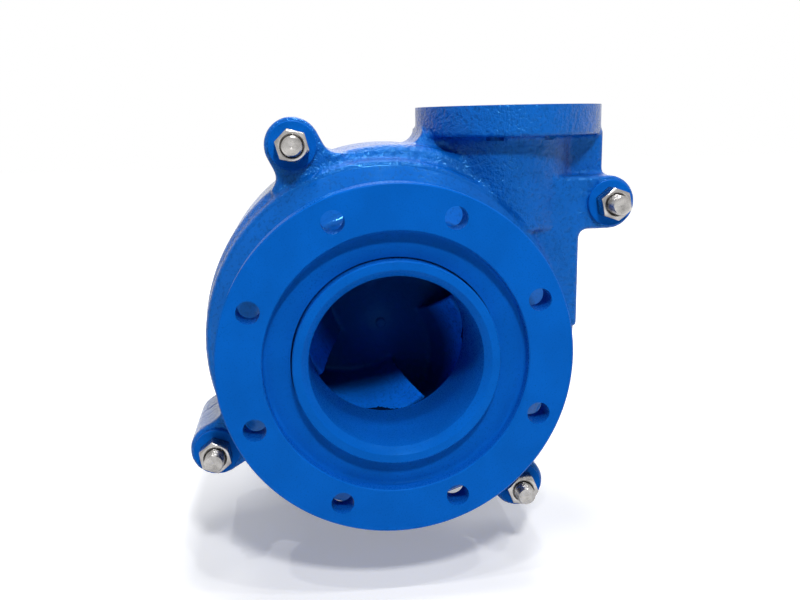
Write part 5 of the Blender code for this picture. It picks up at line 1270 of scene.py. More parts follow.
def make_liner(settings):
    """The volute liner, whose neck shows in the discharge mouth, and the seal around that neck."""
    front = COVER_CAVITY + SEAT_GAP
    rear = FRAME_CAVITY - SEAT_GAP
    chamber = []
    for i in range(145):
        radius = CHAMBER_START + CHAMBER_GROWTH * i / 144
        angle = CHAMBER_START_ANGLE + FULL_TURN * i / 144
        chamber.append((radius * math.cos(angle), radius * math.sin(angle)))
    outside = CASING_RADIUS - CASING_WALL - SEAT_GAP
    liner = joined(
        bar(CASING_CENTRE, outside, front, rear, 144, LINER_EDGE),
        upright(
            DISCHARGE_X, SPLIT, LINER_NECK_RADIUS, LINER_NECK_FOOT + SEAT_GAP, DISCHARGE_TOP, 96,
            TURNED_EDGE,
        ),
    )
    cut(
        liner,
        plate(chamber, CHAMBER_FRONT, CHAMBER_REAR),
        upright(DISCHARGE_X, SPLIT, DISCHARGE_BORE_RADIUS, LINER_NECK_FOOT, WIDE, 96),
        bar((0, 0), THROAT_DISC_RADIUS + SEAT_GAP, front - OVERRUN, CHAMBER_FRONT + OVERRUN, 144),
        bar((0, 0), REAR_OPENING_RADIUS, CHAMBER_REAR - OVERRUN, rear + OVERRUN, 144),
    )
    iron = hard_iron("liner_iron", IRON_COLOUR)
    fitted("liner", liner, "casing", ["volute_liner"], iron)
    seal_bore = LINER_NECK_RADIUS + SEAT_GAP
    seal_foot = DISCHARGE_TOP - SEAL_HEIGHT
    seal = ring(seal_bore, seal_bore + DISCHARGE_SEAL_WIDTH, seal_foot, DISCHARGE_TOP, 96, SOFT_EDGE)
    rubber = seal_rubber("mouth_rubber", RUBBER_COLOUR)
    seal = stood_up(seal, DISCHARGE_X, SPLIT)
    fitted("mouth_seal", seal, "casing", ["discharge_seal"], rubber)


def gland_places():
    return [(-GLAND_STUD_X, 0), (GLAND_STUD_X, 0)]


def faced_back(solid, depth):
    """Turns a solid drawn with its tip at zero depth so that the tip points to the drive end."""
    solid.data.transform(Matrix.Rotation(math.pi, 4, "Z"))
    return moved(solid, 0, 0, depth)


def make_gland(settings):
    profile = [
        (BOX_NECK_RADIUS, BOX_FRONT), (BOX_FLANGE_RADIUS, BOX_FRONT), (BOX_FLANGE_RADIUS, BOX_FLANGE_REAR),
        (BOX_RADIUS, BOX_FLANGE_REAR), (BOX_RADIUS, BOX_REAR - LINER_EDGE),
        (BOX_RADIUS - LINER_EDGE, BOX_REAR),
        (PACKING_RADIUS + MOUTH_EDGE, BOX_REAR), (PACKING_RADIUS, BOX_REAR - MOUTH_EDGE),
        (PACKING_RADIUS, BOX_NECK_DEPTH), (BOX_NECK_RADIUS, BOX_NECK_DEPTH),
    ]
    sockets = [
        bar(place, GLAND_STUD_RADIUS + SEAT_GAP, GLAND_STUD_ROOT - SEAT_GAP, WIDE, 32)
        for place in gland_places()
    ]
    flush = upright(0, FLUSH_DEPTH, FLUSH_BORE_RADIUS, PACKING_RADIUS - OVERRUN, BOX_RADIUS + OVERRUN, 40)
    box = cut(turned(profile, 128), flush, *sockets)
    paint = brushed_paint("blue_gland_paint", settings, 0.45)
    fitted("packing_box", box, "casing", ["stuffing_box"], paint)
    rear = GLAND_PLATE_FRONT + GLAND_PLATE_THICKNESS
    ears = [bar(place, GLAND_EAR_RADIUS, GLAND_PLATE_FRONT, rear, 48) for place in gland_places()]
    follower = joined(
        bar((0, 0), GLAND_PLATE_RADIUS, GLAND_PLATE_FRONT, rear, 96),
        block(
            (-GLAND_STUD_X, GLAND_STUD_X), (GLAND_PLATE_FRONT, rear), (-GLAND_EAR_RADIUS, GLAND_EAR_RADIUS)
        ),
        *ears,
    )
    follower = eased_edges(follower, FOLLOWER_EDGE, 3)
    joined(follower, bar((0, 0), GLAND_NOSE_RADIUS, GLAND_NOSE_FRONT, rear - OVERRUN, 96, TURNED_EDGE))
    cut(
        follower,
        bar((0, 0), GLAND_BORE_RADIUS, GLAND_NOSE_FRONT - OVERRUN, WIDE, 96),
        *[bar(place, GLAND_STUD_HOLE, GLAND_PLATE_FRONT - OVERRUN, WIDE, 32) for place in gland_places()],
    )
    fitted("gland_follower_plate", follower, "gland_follower", ["gland"], paint)
    plating = plated_steel("gland_plating", settings.plating, settings.plating_roughness * 1.2)
    nut_front = rear + SEAT_GAP
    for i, place in enumerate(gland_places(), 1):
        stud = threaded_bar(GLAND_STUD_RADIUS, 0, GLAND_STUD_END - rear, GLAND_PITCH)
        length = GLAND_STUD_END - GLAND_STUD_ROOT
        root = bar((0, 0), GLAND_STUD_RADIUS * SHANK_SHARE, GLAND_PLAIN_START, length, 32)
        stud = moved(faced_back(gathered([stud, root]), GLAND_STUD_END), *place)
        fitted(f"gland_stud_bar_{i}", stud, "casing", [f"gland_stud_{i}"], plating)
        nut = countersunk_nut(
            place, GLAND_NUT_FLAT, GLAND_STUD_RADIUS + RUNNING_GAP, nut_front,
            nut_front + GLAND_NUT_HEIGHT, GLAND_NUT_TURNS[i - 1], True,
        )
        fitted(f"gland_hex_{i}", nut, "gland_follower", [f"gland_nut_{i}"], plating)


def make_shaft_line(settings):
    """Shaft, key, wear sleeve and the two labyrinth rings."""
    steel = machined_steel("turned_shaft_steel", STEEL_COLOUR)
    ground = machined_steel("ground_sleeve_steel", GROUND_STEEL_COLOUR)
    thread = THREAD_BORE_RADIUS - SEAT_GAP
    edge = SHAFT_CHAMFER
    profile = [
        (0, THREAD_BORE_DEPTH + SEAT_GAP), (thread, THREAD_BORE_DEPTH + SEAT_GAP), (thread, SHAFT_STEP),
        (SHAFT_SEAL_RADIUS, SHAFT_STEP), (SHAFT_SEAL_RADIUS, SLEEVE_REAR + SEAT_GAP),
        (SHAFT_BEARING_RADIUS - edge / 2, SLEEVE_REAR + SEAT_GAP),
        (SHAFT_BEARING_RADIUS, SLEEVE_REAR + SEAT_GAP + edge / 2),
        (SHAFT_BEARING_RADIUS, SHAFT_MID_START), (SHAFT_MID_RADIUS, SHAFT_MID_START),
        (SHAFT_MID_RADIUS, SHAFT_MID_END), (SHAFT_BEARING_RADIUS, SHAFT_MID_END),
        (SHAFT_BEARING_RADIUS, DRIVE_RING_REAR + edge / 2),
        (SHAFT_BEARING_RADIUS - edge / 2, DRIVE_RING_REAR + edge),
        (SHAFT_END_RADIUS, DRIVE_RING_REAR + edge), (SHAFT_END_RADIUS, SHAFT_END - edge),
        (SHAFT_END_RADIUS - edge, SHAFT_END), (CENTRE_DRILL, SHAFT_END), (0, SHAFT_END - CENTRE_DRILL),
    ]
    key_rear = SHAFT_END - KEY_WIDTH
    key_front = key_rear - KEY_LENGTH
    key_foot = SHAFT_END_RADIUS - KEY_HEIGHT / 2
    half = KEY_WIDTH / 2
    keyway = block(
        (-half - SEAT_GAP, half + SEAT_GAP), (key_front - SEAT_GAP, key_rear + SEAT_GAP),
        (key_foot - SEAT_GAP, WIDE),
    )
    shaft = cut(turned(profile, 96), keyway)
    fitted("pump_shaft", shaft, "rotor", ["shaft"], steel, math.radians(25))
    key = block((-half, half), (key_front, key_rear), (key_foot, key_foot + KEY_HEIGHT))
    key = eased_edges(key, FINE_EDGE)
    fitted("coupling_key", key, "rotor", ["shaft_key"], ground)
    sleeve_front = HUB_BOSS_DEPTH + SEAT_GAP
    sleeve = ring(SLEEVE_BORE_RADIUS, SLEEVE_RADIUS, sleeve_front, SLEEVE_REAR, 96, TURNED_EDGE)
    fitted("wear_sleeve", sleeve, "rotor", ["shaft_sleeve"], ground)
    for name, face, way in (("pump", PUMP_RING_FRONT, 1), ("drive", DRIVE_RING_REAR, -1)):
        rows = [
            (LIP_RADIUS - FINE_EDGE, 0), (LIP_RADIUS, FINE_EDGE), (LIP_RADIUS, LIP),
            (LABYRINTH_RADIUS, LIP), (LABYRINTH_RADIUS, LABYRINTH_LENGTH), (RING_BORE, LABYRINTH_LENGTH),
            (RING_BORE, 0),
        ]
        lip = turned([(radius, face + way * depth) for radius, depth in rows], 96)
        fitted(f"seal_ring_{name}", lip, "rotor", [f"labyrinth_{name}"], steel)


def ear_slots():
    """The slots that let the housing slide under its clamp bolts."""
    run = CLAMP_SLOT_HALF - CLAMP_SLOT_RADIUS
    slots = []
    for depth in CLAMP_DEPTHS:
        for x in (-CLAMP_X, CLAMP_X):
            wide = (x - CLAMP_SLOT_RADIUS, x + CLAMP_SLOT_RADIUS)
            slots.append(block(wide, (depth - run, depth + run), (-SLOT_REACH, SLOT_REACH)))
            for end in (depth - run, depth + run):
                slots.append(upright(x, end, CLAMP_SLOT_RADIUS, -SLOT_REACH, SLOT_REACH, 40))
    return slots


def make_housing(settings):
    """The bearing housing, a casting machined at its ends, ears, bosses and lug."""
    half = EAR_THICKNESS / 2
    lug_front = HOUSING_REAR - ADJUSTER_LUG_LENGTH
    solids = [bar((0, 0), HOUSING_RADIUS, HOUSING_FRONT - OVERRUN, HOUSING_REAR + OVERRUN, 128)]
    for depth in CLAMP_DEPTHS:
        span = (depth - EAR_LENGTH / 2, depth + EAR_LENGTH / 2)
        solids.append(block((-EAR_REACH, EAR_REACH), span, (-half - STOCK, half + STOCK)))
    top = HOUSING_RADIUS + GREASE_BOSS_RISE
    solids += [upright(0, depth, GREASE_BOSS_RADIUS, 0, top + STOCK, 48) for depth in GREASE_DEPTHS]
    solids.append(block(
        (-ADJUSTER_LUG_HALF, ADJUSTER_LUG_HALF), (lug_front, HOUSING_REAR + OVERRUN),
        (-ADJUSTER_DROP - ADJUSTER_LUG_HALF, 0),
    ))
    casting = cast(solids, settings.grain * HOUSING_GRAIN_SHARE, HOUSING_EASE)
    shoulder = HOUSING_BORE_RADIUS - HOUSING_SHOULDER
    stem_foot = shoulder + GREASE_STEM_RISE
    bore = [
        (0, HOUSING_FRONT - OVERRUN), (HOUSING_BORE_RADIUS, HOUSING_FRONT - OVERRUN),
        (HOUSING_BORE_RADIUS, SHAFT_MID_START), (shoulder, SHAFT_MID_START), (shoulder, SHAFT_MID_END),
        (HOUSING_BORE_RADIUS, SHAFT_MID_END), (HOUSING_BORE_RADIUS, HOUSING_REAR + OVERRUN),
        (0, HOUSING_REAR + OVERRUN),
    ]
    beyond = HOUSING_RADIUS + EAR_ROOM
    ear_faces = [
        block(across, EAR_FACES, height)
        for across in ((beyond, WIDE), (-WIDE, -beyond))
        for height in ((half, EAR_FACE_REACH), (-EAR_FACE_REACH, -half))
    ]
    housing = cut(
        casting,
        block(THROUGH, (-WIDE, HOUSING_FRONT), THROUGH), block(THROUGH, (HOUSING_REAR, WIDE), THROUGH),
        turned(bore, 128), *ear_faces, *ear_slots(),
        *[upright(0, depth, GREASE_FACE_RADIUS, top, GREASE_CUT_TOP, 48) for depth in GREASE_DEPTHS],
        *[upright(0, depth, GREASE_STEM_ROOM, stem_foot, GREASE_CUT_TOP, 32) for depth in GREASE_DEPTHS],
        bar(SCREW_PLACE, ADJUSTER_SEAT_RADIUS, lug_front - ADJUSTER_SEAT_ROOM, lug_front, 48),
        bar(SCREW_PLACE, ADJUSTER_HOLE_RADIUS, HOUSING_REAR - ADJUSTER_HOLE_RUN, WIDE, 40),
    )
    rough = brushed_paint("blue_housing_paint", settings, 0.8)
    fitted("roller_housing", housing, "bearing_cartridge", ["bearing_housing"], rough)
    make_end_covers(smooth_paint("blue_cover_paint", settings))
    make_grease_cups(aged_brass("cup_brass", BRASS_COLOUR))


def make_end_covers(finish):
    spigot = HOUSING_BORE_RADIUS - SEAT_GAP
    relief = spigot - END_COVER_THICKNESS / 2
    rows = [
        (END_COVER_BORE + TURNED_EDGE, END_COVER_THICKNESS),
        (END_COVER_RADIUS - MOUTH_EDGE, END_COVER_THICKNESS),
        (END_COVER_RADIUS, END_COVER_THICKNESS - MOUTH_EDGE), (END_COVER_RADIUS, 0), (spigot, 0),
        (spigot, -END_COVER_SPIGOT), (relief, -END_COVER_SPIGOT), (relief, 0), (END_COVER_BORE, 0),
        (END_COVER_BORE, END_COVER_THICKNESS - TURNED_EDGE),
    ]
    for name, face, way in (("pump", HOUSING_FRONT - SEAT_GAP, -1), ("drive", HOUSING_REAR + SEAT_GAP, 1)):
        cover = turned([(radius, face + way * depth) for radius, depth in rows], 128)
        nodes = [f"end_cover_{name}"]
        fitted(f"bearing_cover_{name}", cover, "bearing_cartridge", nodes, finish)


def make_grease_cups(finish):
    seat = HOUSING_RADIUS + GREASE_BOSS_RISE + SEAT_GAP
    cup = [
        (0, -GREASE_BOSS_RISE), (GREASE_STEM, -GREASE_BOSS_RISE), (GREASE_STEM, 0), (GREASE_WAIST, 0),
        (GREASE_WAIST, GREASE_HEIGHT / 3), (GREASE_RADIUS, GREASE_HEIGHT / 2),
        (GREASE_RADIUS, GREASE_HEIGHT - GREASE_STEM / 2), (GREASE_WAIST, GREASE_HEIGHT), (0, GREASE_HEIGHT),
    ]
    for name, depth in zip(("pump", "drive"), GREASE_DEPTHS):
        solid = stood_up(turned([(radius, seat + high) for radius, high in cup], 48), 0, depth)
        fitted(f"greaser_{name}", solid, "bearing_cartridge", [f"grease_cup_{name}"], finish)


def standing_bolt(radius, length, flat, height, pitch, turn):
    """A hexagon bolt drawn head up, its seat at zero height."""
    head = crowned_hexagon(flat, 0, height, turn, True)
    thread = threaded_bar(radius, -length, -length / 3, pitch, 32)
    shank = bar((0, 0), radius * SHANK_SHARE, -length * 0.4, height / 2, 32)
    return gathered([head, thread, shank])


def window_cutter():
    """The window through both side walls, with cast round corners."""
    middle = sum(CLAMP_DEPTHS) / 2
    low = WINDOW_SILL - SHAFT_HEIGHT
    corner = WINDOW_CORNER
    near, far = middle - WINDOW_WIDTH / 2 + corner, middle + WINDOW_WIDTH / 2 - corner
    foot, top = low + corner, low + WINDOW_HEIGHT - corner
    outline = arc((far, foot), corner, -RIGHT_ANGLE, 0, 6) + arc((far, top), corner, 0, RIGHT_ANGLE, 6)
    outline += arc((near, top), corner, RIGHT_ANGLE, math.pi, 6)
    outline += arc((near, foot), corner, math.pi, 1.5 * math.pi, 6)
    return side_plate(outline, *THROUGH)


def both_sides(inner, outer, depth_span, z_span):
    return [block((inner, outer), depth_span, z_span), block((-outer, -inner), depth_span, z_span)]


def clamp_places():
    return [(x, depth) for x in (-CLAMP_X, CLAMP_X) for depth in CLAMP_DEPTHS]


def foot_holes():
    across = (SIDE_OUTER + FOOT_HALF_WIDTH) / 2
    depths = (BASE_FRONT + FOOT_HOLE_INSET, BASE_REAR - FOOT_HOLE_INSET)
    return [(x, depth) for x in (-across, across) for depth in depths]


def make_base(settings):
    """The cast base with its ring, side walls, saddles, feet and adjusting bracket, and all its bolts."""
    floor = -SHAFT_HEIGHT
    cheek_front = RING_REAR - (RING_REAR - RING_FRONT) / 2
    within = (-SIDE_OUTER + OVERRUN, SIDE_OUTER - OVERRUN)
    bracket_top = -ADJUSTER_DROP + ADJUSTER_LUG_HALF
    rib = [
        (cheek_front, OVERRUN - CHEEK_BELOW), (BASE_FRONT + OVERRUN, OVERRUN - CHEEK_BELOW),
        (BASE_FRONT + OVERRUN, floor + FOOT_THICKNESS / 2), (BASE_FRONT, floor + FOOT_THICKNESS / 2),
        (cheek_front, -CHEEK_BELOW - SHOULDER),
    ]
    wall = SIDE_OUTER - SIDE_INNER
    saddle = SADDLE_LENGTH / 2
    foot = (floor - STOCK, floor + FOOT_THICKNESS)
    length = (BASE_FRONT, BASE_REAR)
    solids = [
        ring(RING_BORE_RADIUS - OVERRUN, RING_RADIUS, RING_FRONT - STOCK, RING_REAR, 144),
        *both_sides(SIDE_INNER, SIDE_OUTER, length, (floor - STOCK, RAIL_TOP + STOCK)),
        *both_sides(SIDE_INNER, SIDE_OUTER, (cheek_front, CHEEK_REAR), (-CHEEK_BELOW, CHEEK_ABOVE)),
        *both_sides(SIDE_INNER + wall / 2, FOOT_HALF_WIDTH, length, foot),
        *[
            block(within, (depth - saddle, depth + saddle), (-SADDLE_FOOT, RAIL_TOP + STOCK))
            for depth in CLAMP_DEPTHS
        ],
        block(within, (BASE_FRONT, BASE_FRONT + CROSSWALL), (floor - STOCK, -RING_RADIUS)),
        block(within, (BASE_REAR - BRACKET_THICKNESS, BASE_REAR), (floor - STOCK, bracket_top)),
        side_plate(rib, SIDE_INNER + wall / 4, SIDE_OUTER - wall / 4),
        side_plate(rib, wall / 4 - SIDE_OUTER, -SIDE_INNER - wall / 4),
    ]
    casting = cast(solids, settings.grain, BASE_EASE)
    base = cut(
        casting,
        block(THROUGH, THROUGH, (-WIDE, floor)), block(THROUGH, (-WIDE, RING_FRONT), THROUGH),
        block(THROUGH, (RAIL_FRONT, WIDE), (RAIL_TOP, WIDE)),
        bar((0, 0), RING_BORE_RADIUS, BORE_CUT_FRONT, RING_REAR + STOCK, 144),
        bar((0, 0), CRADLE_RADIUS, RING_REAR, BASE_REAR - BRACKET_THICKNESS, 144),
        window_cutter(),
        *[upright(*hole, FOOT_HOLE_RADIUS, -WIDE, floor + FOOT_HOLE_RUN, 40) for hole in foot_holes()],
        *[
            bar(place, BASE_HOLE_RADIUS, BORE_CUT_FRONT, RING_REAR + OVERRUN, 32)
            for place in base_bolt_places()
        ],
        *[
            bar(place, BASE_SEAT_RADIUS, RING_REAR, RING_REAR + BASE_SEAT_DEPTH, 40)
            for place in base_bolt_places()
        ],
        *[
            upright(*place, CLAMP_RADIUS + SEAT_GAP, CLAMP_SEAT - CLAMP_LENGTH - SEAT_GAP, SLOT_REACH, 32)
            for place in clamp_places()
        ],
        bar(SCREW_PLACE, BRACKET_HOLE_RADIUS, BASE_REAR - ADJUSTER_HOLE_RUN, WIDE, 40),
        bar(SCREW_PLACE, BRACKET_SEAT_RADIUS, BASE_REAR, WIDE, 48),
    )
    paint = brushed_paint("blue_base_paint", settings, 1.0)
    fitted("cast_base", base, "casing", ["base_frame"], paint)
    plating = plated_steel("base_bolt_plating", settings.plating, settings.plating_roughness * 1.3)
    make_ring_bolts(plating)
    make_hold_down_bolts(plating)
    make_slide_screw(plating)


def make_ring_bolts(plating):
    """The bolts that hold the casing on the base's ring."""
    seat = RING_REAR + SEAT_GAP
    for i, place in enumerate(base_bolt_places(), 1):
        bolt = standing_bolt(
            BASE_BOLT_RADIUS, seat - BASE_BOLT_TIP, BASE_HEAD_FLAT, BASE_HEAD_HEIGHT, BASE_PITCH,
            math.pi / 6,
        )
        bolt = moved(bolt, *place, seat)
        fitted(f"ring_bolt_{i}", bolt, "casing", [f"base_bolt_{i}"], plating)


def make_hold_down_bolts(plating):
    """The bolts and washers that clamp the bearing cartridge on its saddles."""
    top = CLAMP_SEAT - SEAT_GAP
    for i, (place, turn) in enumerate(zip(clamp_places(), CLAMP_TURNS), 1):
        bolt = standing_bolt(CLAMP_RADIUS, CLAMP_LENGTH, CLAMP_FLAT, CLAMP_HEAD_HEIGHT, CLAMP_PITCH, turn)
        bolt = moved(stood_up(bolt, *place), 0, CLAMP_SEAT)
        fitted(f"hold_down_bolt_{i}", bolt, "casing", [f"clamp_bolt_{i}"], plating)
        washer = ring(CLAMP_RADIUS + SEAT_GAP, WASHER_RADIUS, top - WASHER_HEIGHT, top, 64, WASHER_EDGE)
        washer = stood_up(washer, *place)
        fitted(f"hold_down_washer_{i}", washer, "casing", [f"clamp_washer_{i}"], plating)


def make_slide_screw(plating):
    """The screw and nut that slide the bearing cartridge."""
    front = HOUSING_REAR - ADJUSTER_LUG_LENGTH - SEAT_GAP
    thread = threaded_bar(ADJUSTER_RADIUS, 0, ADJUSTER_LENGTH * 0.7, ADJUSTER_PITCH)
    thread = faced_back(thread, front + ADJUSTER_LENGTH)
    under_head = front - CLAMP_HEAD_HEIGHT / 2
    neck = bar((0, 0), ADJUSTER_RADIUS * SHANK_SHARE, under_head, front + ADJUSTER_LENGTH * 0.4, 40)
    head = crowned_hexagon(ADJUSTER_FLAT, front - CLAMP_HEAD_HEIGHT, front, ADJUSTER_HEAD_TURN, True)
    rod = moved(gathered([thread, neck, head]), *SCREW_PLACE)
    fitted("slide_screw", rod, "bearing_cartridge", ["adjusting_screw"], plating)
    nut_front = BASE_REAR + SEAT_GAP
    nut = countersunk_nut(
        SCREW_PLACE, ADJUSTER_FLAT, ADJUSTER_RADIUS + RUNNING_GAP, nut_front,
        nut_front + ADJUSTER_NUT_HEIGHT, ADJUSTER_NUT_TURN, True,
    )
    fitted("slide_nut", nut, "adjuster", ["adjusting_nut"], plating)


def make_inner_finishes(settings):
    """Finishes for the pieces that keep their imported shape."""
    finishes = {
        "pump_blue": brushed_paint("blue_plain_paint", settings, 0.8),
        "bright_steel": plated_steel("plain_plating", settings.plating, settings.plating_roughness),
        "machined_steel": machined_steel("turned_steel", STEEL_COLOUR),
        "hard_iron": hard_iron("hard_white_iron", IRON_COLOUR),
        "seal_rubber": seal_rubber("black_rubber", RUBBER_COLOUR),
        "packing_yarn": packing_yarn("greased_packing", PACKING_COLOUR),
        "brass": aged_brass("dull_brass", BRASS_COLOUR),
    }
    for name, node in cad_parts.items():
        slot = node.data.materials[0].name.split(".")[0]
        node.data.materials[0] = finishes[slot]


def area_light(name, place, aim, size, power):
    """A white area lamp turned to a point: round when its size is one number."""
    lamp = bpy.data.lights.new(name, "AREA")
    is_round = isinstance(size, float)
    lamp.shape = "DISK" if is_round else "RECTANGLE"
    lamp.size, lamp.size_y = (size, size) if is_round else size
    lamp.energy = power
    holder = new_object(name, lamp)
    holder.location = place
    holder.rotation_euler = (aim - place).to_track_quat("-Z", "Y").to_euler()


def make_floor():
    """A white floor that keeps the pump's shadow and glows white further out."""
    floor = solid_of([(x, y, 0) for x, y in FLOOR_CORNERS], [(0, 1, 2, 3)])
    floor.name = floor.data.name = "floor"
    graph = finish_graph("white_floor")
    wash = graph.noise(graph.place(), 2.0, 2)
    tone = graph.blended(wash, (0.84, 0.84, 0.84, 1), (0.88, 0.88, 0.88, 1))
    graph.surface(Base_Color=tone, Roughness=0.9, Specular_IOR_Level=0.0)
    ends = {0: graph.place(), 1: STAGE_MIDDLE}
    away = graph.add("ShaderNodeVectorMath", {"operation": "DISTANCE"}, ends, 1)
    seen = graph.ray("Is Camera Ray") + graph.ray("Is Glossy Ray") + graph.ray("Is Transmission Ray")
    whiteness = graph.between(away, *FLOOR_CLEARING, 0.3, 1.0) * seen.clamped()
    glow = graph.add("ShaderNodeEmission", {}, {"Strength": whiteness})
    both = graph.add("ShaderNodeAddShader", {}, {0: Value(graph, graph.shader.outputs[0]), 1: glow})
    graph.feed(graph.tree.nodes["Material Output"].inputs["Surface"], both)
    floor.data.materials.append(graph.owner)
    floor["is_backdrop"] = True


def make_surroundings(studio):
    """White where the camera sees them or a surface mirrors them, and dim as a light on the pump."""
    graph = Graph(bpy.data.worlds.new("white_studio"), "Background")
    seen = graph.ray("Is Camera Ray")
    for kind in ("Is Glossy Ray", "Is Transmission Ray"):
        seen = seen.math("MAXIMUM", graph.ray(kind))
    colour = graph.blended(seen, (*studio, 1), WHITE)
    bpy.context.scene.world = graph.surface(Color=colour, Strength=1.0)


def make_camera():
    lens = bpy.data.cameras.new("camera")
    lens.sensor_width = CAMERA_SENSOR
    lens.lens = CAMERA_LENS
    lens.clip_start = CAMERA_CLIP
    camera = new_object("camera", lens)
    yaw, pitch, roll = CAMERA_TURNS
    turn = (
        Matrix.Rotation(yaw, 4, "Z") @ Matrix.Rotation(pitch, 4, "X") @ Matrix.Rotation(roll, 4, "Y")
        @ Matrix.Rotation(RIGHT_ANGLE, 4, "X")
    )
    camera.matrix_world = Matrix.Translation(FACE_CENTRE + Vector(CAMERA_PLACE)) @ turn
    bpy.context.scene.camera = camera


def make_stage(settings):
    for name, offset, size, power in LAMPS:
        area_light(name, STAGE_MIDDLE + Vector(offset), STAGE_MIDDLE, size, power)
    make_floor()
    make_surroundings(settings.studio)
    make_camera()
    bpy.context.scene.view_settings.view_transform = "Standard"


class PumpSettings(bpy.types.PropertyGroup):
    """Sizes and colours that change the dressing of the pump."""

    paint: bpy.props.FloatVectorProperty(
        name="Paint", description="Colour of the paint on every casting",
        default=(0.002, 0.105, 0.485), subtype="COLOR", min=0, max=1,
    )
    paint_roughness: bpy.props.FloatProperty(
        name="Paint roughness", description="Roughness of the brushed paint", default=0.12, min=0.05, max=1,
    )
    relief: bpy.props.FloatProperty(
        name="Casting relief", description="Height of the lumps in the painted cast skin",
        default=0.003, min=0, max=0.01, unit="LENGTH",
    )
    grain: bpy.props.FloatProperty(
        name="Casting grain", description="Size of the grid on which the castings are fused",
        default=0.0022, min=0.0012, max=0.006, unit="LENGTH",
    )
    ease: bpy.props.IntProperty(
        name="Casting ease", description="Rounds of smoothing that ease a casting's corners",
        default=12, min=0, max=60,
    )
    plating: bpy.props.FloatVectorProperty(
        name="Plating", description="Colour of the plated nuts and bolts",
        default=(0.47, 0.455, 0.44), subtype="COLOR", min=0, max=1,
    )
    plating_roughness: bpy.props.FloatProperty(
        name="Plating roughness", description="Roughness of the plated nuts and bolts",
        default=0.2, min=0.02, max=1,
    )
    studio: bpy.props.FloatVectorProperty(
        name="Studio light", description="Colour that the surroundings light the pump with",
        default=(0.035, 0.035, 0.037), subtype="COLOR", min=0, max=4,
    )


class PUMP_OT_inner_finishes(bpy.types.Operator):
    """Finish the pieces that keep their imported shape"""

    bl_idname = "pump.inner_finishes"
    bl_label = "Inner finishes"

    def execute(self, context):
        make_inner_finishes(context.scene.pump_dressing)
        return {"FINISHED"}


class PUMP_OT_front_casing(bpy.types.Operator):
    """Cast and machine the casing's suction half"""

    bl_idname = "pump.front_casing"
    bl_label = "Front casing"

    def execute(self, context):
        make_front_casing(context.scene.pump_dressing)
        return {"FINISHED"}


class PUMP_OT_rear_casing(bpy.types.Operator):
    """Cast and machine the casing's drive half"""

    bl_idname = "pump.rear_casing"
    bl_label = "Rear casing"

    def execute(self, context):
        make_rear_casing(context.scene.pump_dressing)
        return {"FINISHED"}


class PUMP_OT_liner(bpy.types.Operator):
    """Cast the volute liner and the seal at its mouth"""

    bl_idname = "pump.liner"
    bl_label = "Liner"

    def execute(self, context):
        make_liner(context.scene.pump_dressing)
        return {"FINISHED"}


class PUMP_OT_throat(bpy.types.Operator):
    """Turn the throatbush"""

    bl_idname = "pump.throat"
    bl_label = "Throat"

    def execute(self, context):
        make_throat(context.scene.pump_dressing)
        return {"FINISHED"}


class PUMP_OT_impeller(bpy.types.Operator):
    """Cast the impeller and its twisted vanes"""

    bl_idname = "pump.impeller"
    bl_label = "Impeller"

    def execute(self, context):
        make_impeller(context.scene.pump_dressing)
        return {"FINISHED"}


class PUMP_OT_cover_bolts(bpy.types.Operator):
    """Make the bolts that clamp the casing's halves"""

    bl_idname = "pump.cover_bolts"
    bl_label = "Casing bolts"

    def execute(self, context):
        make_cover_bolts(context.scene.pump_dressing)
        return {"FINISHED"}


class PUMP_OT_gland(bpy.types.Operator):
    """Make the stuffing box, the gland and its studs and nuts"""

    bl_idname = "pump.gland"
    bl_label = "Gland"

    def execute(self, context):
        make_gland(context.scene.pump_dressing)
        return {"FINISHED"}


class PUMP_OT_shaft_line(bpy.types.Operator):
    """Turn the shaft, its sleeve, its key and the labyrinth rings"""

    bl_idname = "pump.shaft_line"
    bl_label = "Shaft line"

    def execute(self, context):
        make_shaft_line(context.scene.pump_dressing)
        return {"FINISHED"}


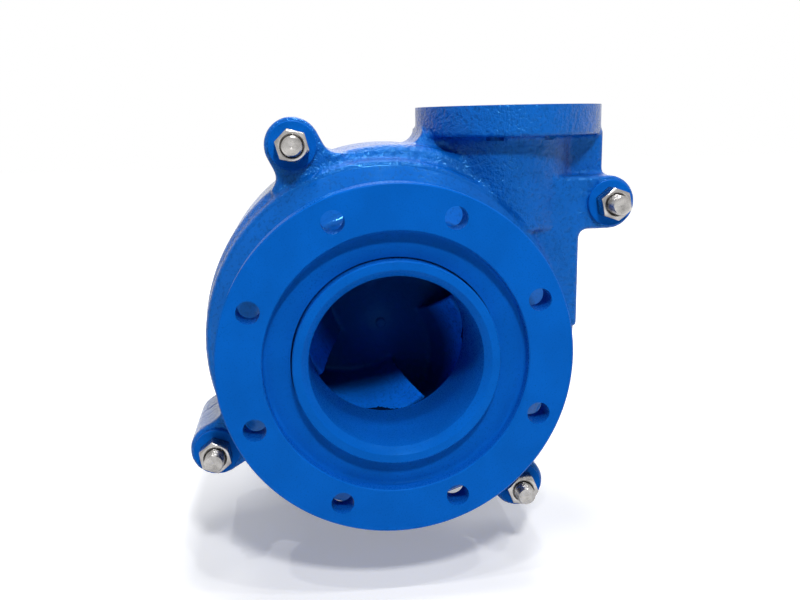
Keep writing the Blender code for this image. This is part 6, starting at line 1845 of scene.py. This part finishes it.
class PUMP_OT_housing(bpy.types.Operator):
    """Cast the bearing housing and turn its covers and grease cups"""

    bl_idname = "pump.housing"
    bl_label = "Housing"

    def execute(self, context):
        make_housing(context.scene.pump_dressing)
        return {"FINISHED"}


class PUMP_OT_base(bpy.types.Operator):
    """Cast the base and make its bolts and adjusting screw"""

    bl_idname = "pump.base"
    bl_label = "Base"

    def execute(self, context):
        make_base(context.scene.pump_dressing)
        return {"FINISHED"}


class PUMP_OT_stage(bpy.types.Operator):
    """Set the floor, the lights, the white surroundings and the camera"""

    bl_idname = "pump.stage"
    bl_label = "Stage"

    def execute(self, context):
        make_stage(context.scene.pump_dressing)
        return {"FINISHED"}


OPERATORS = (
    PUMP_OT_inner_finishes, PUMP_OT_front_casing, PUMP_OT_rear_casing, PUMP_OT_liner, PUMP_OT_throat,
    PUMP_OT_impeller, PUMP_OT_cover_bolts, PUMP_OT_gland, PUMP_OT_shaft_line, PUMP_OT_housing,
    PUMP_OT_base, PUMP_OT_stage,
)


class PUMP_PT_dressing(bpy.types.Panel):
    """Lists the steps that dress the pump"""

    bl_label = "Slurry pump"
    bl_idname = "PUMP_PT_dressing"
    bl_space_type = "VIEW_3D"
    bl_region_type = "UI"
    bl_category = "Slurry pump"

    def draw(self, context):
        for name in PumpSettings.__annotations__:
            self.layout.prop(context.scene.pump_dressing, name)
        for operator in OPERATORS:
            self.layout.operator(operator.bl_idname)


CLASSES = (PumpSettings, *OPERATORS, PUMP_PT_dressing)


def register():
    for item in CLASSES:
        bpy.utils.register_class(item)
    bpy.types.Scene.pump_dressing = bpy.props.PointerProperty(type=PumpSettings)


def unregister():
    del bpy.types.Scene.pump_dressing
    for item in reversed(CLASSES):
        bpy.utils.unregister_class(item)


def corners(span):
    return [[float(value) for value in corner] for corner in span]


def main():
    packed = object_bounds()
    register()
    for operator in OPERATORS:
        group, name = operator.bl_idname.split(".")
        getattr(getattr(bpy.ops, group), name)()
    {"cad": corners(packed), "visual": corners(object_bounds())}


if __name__ == "__main__":
    main()
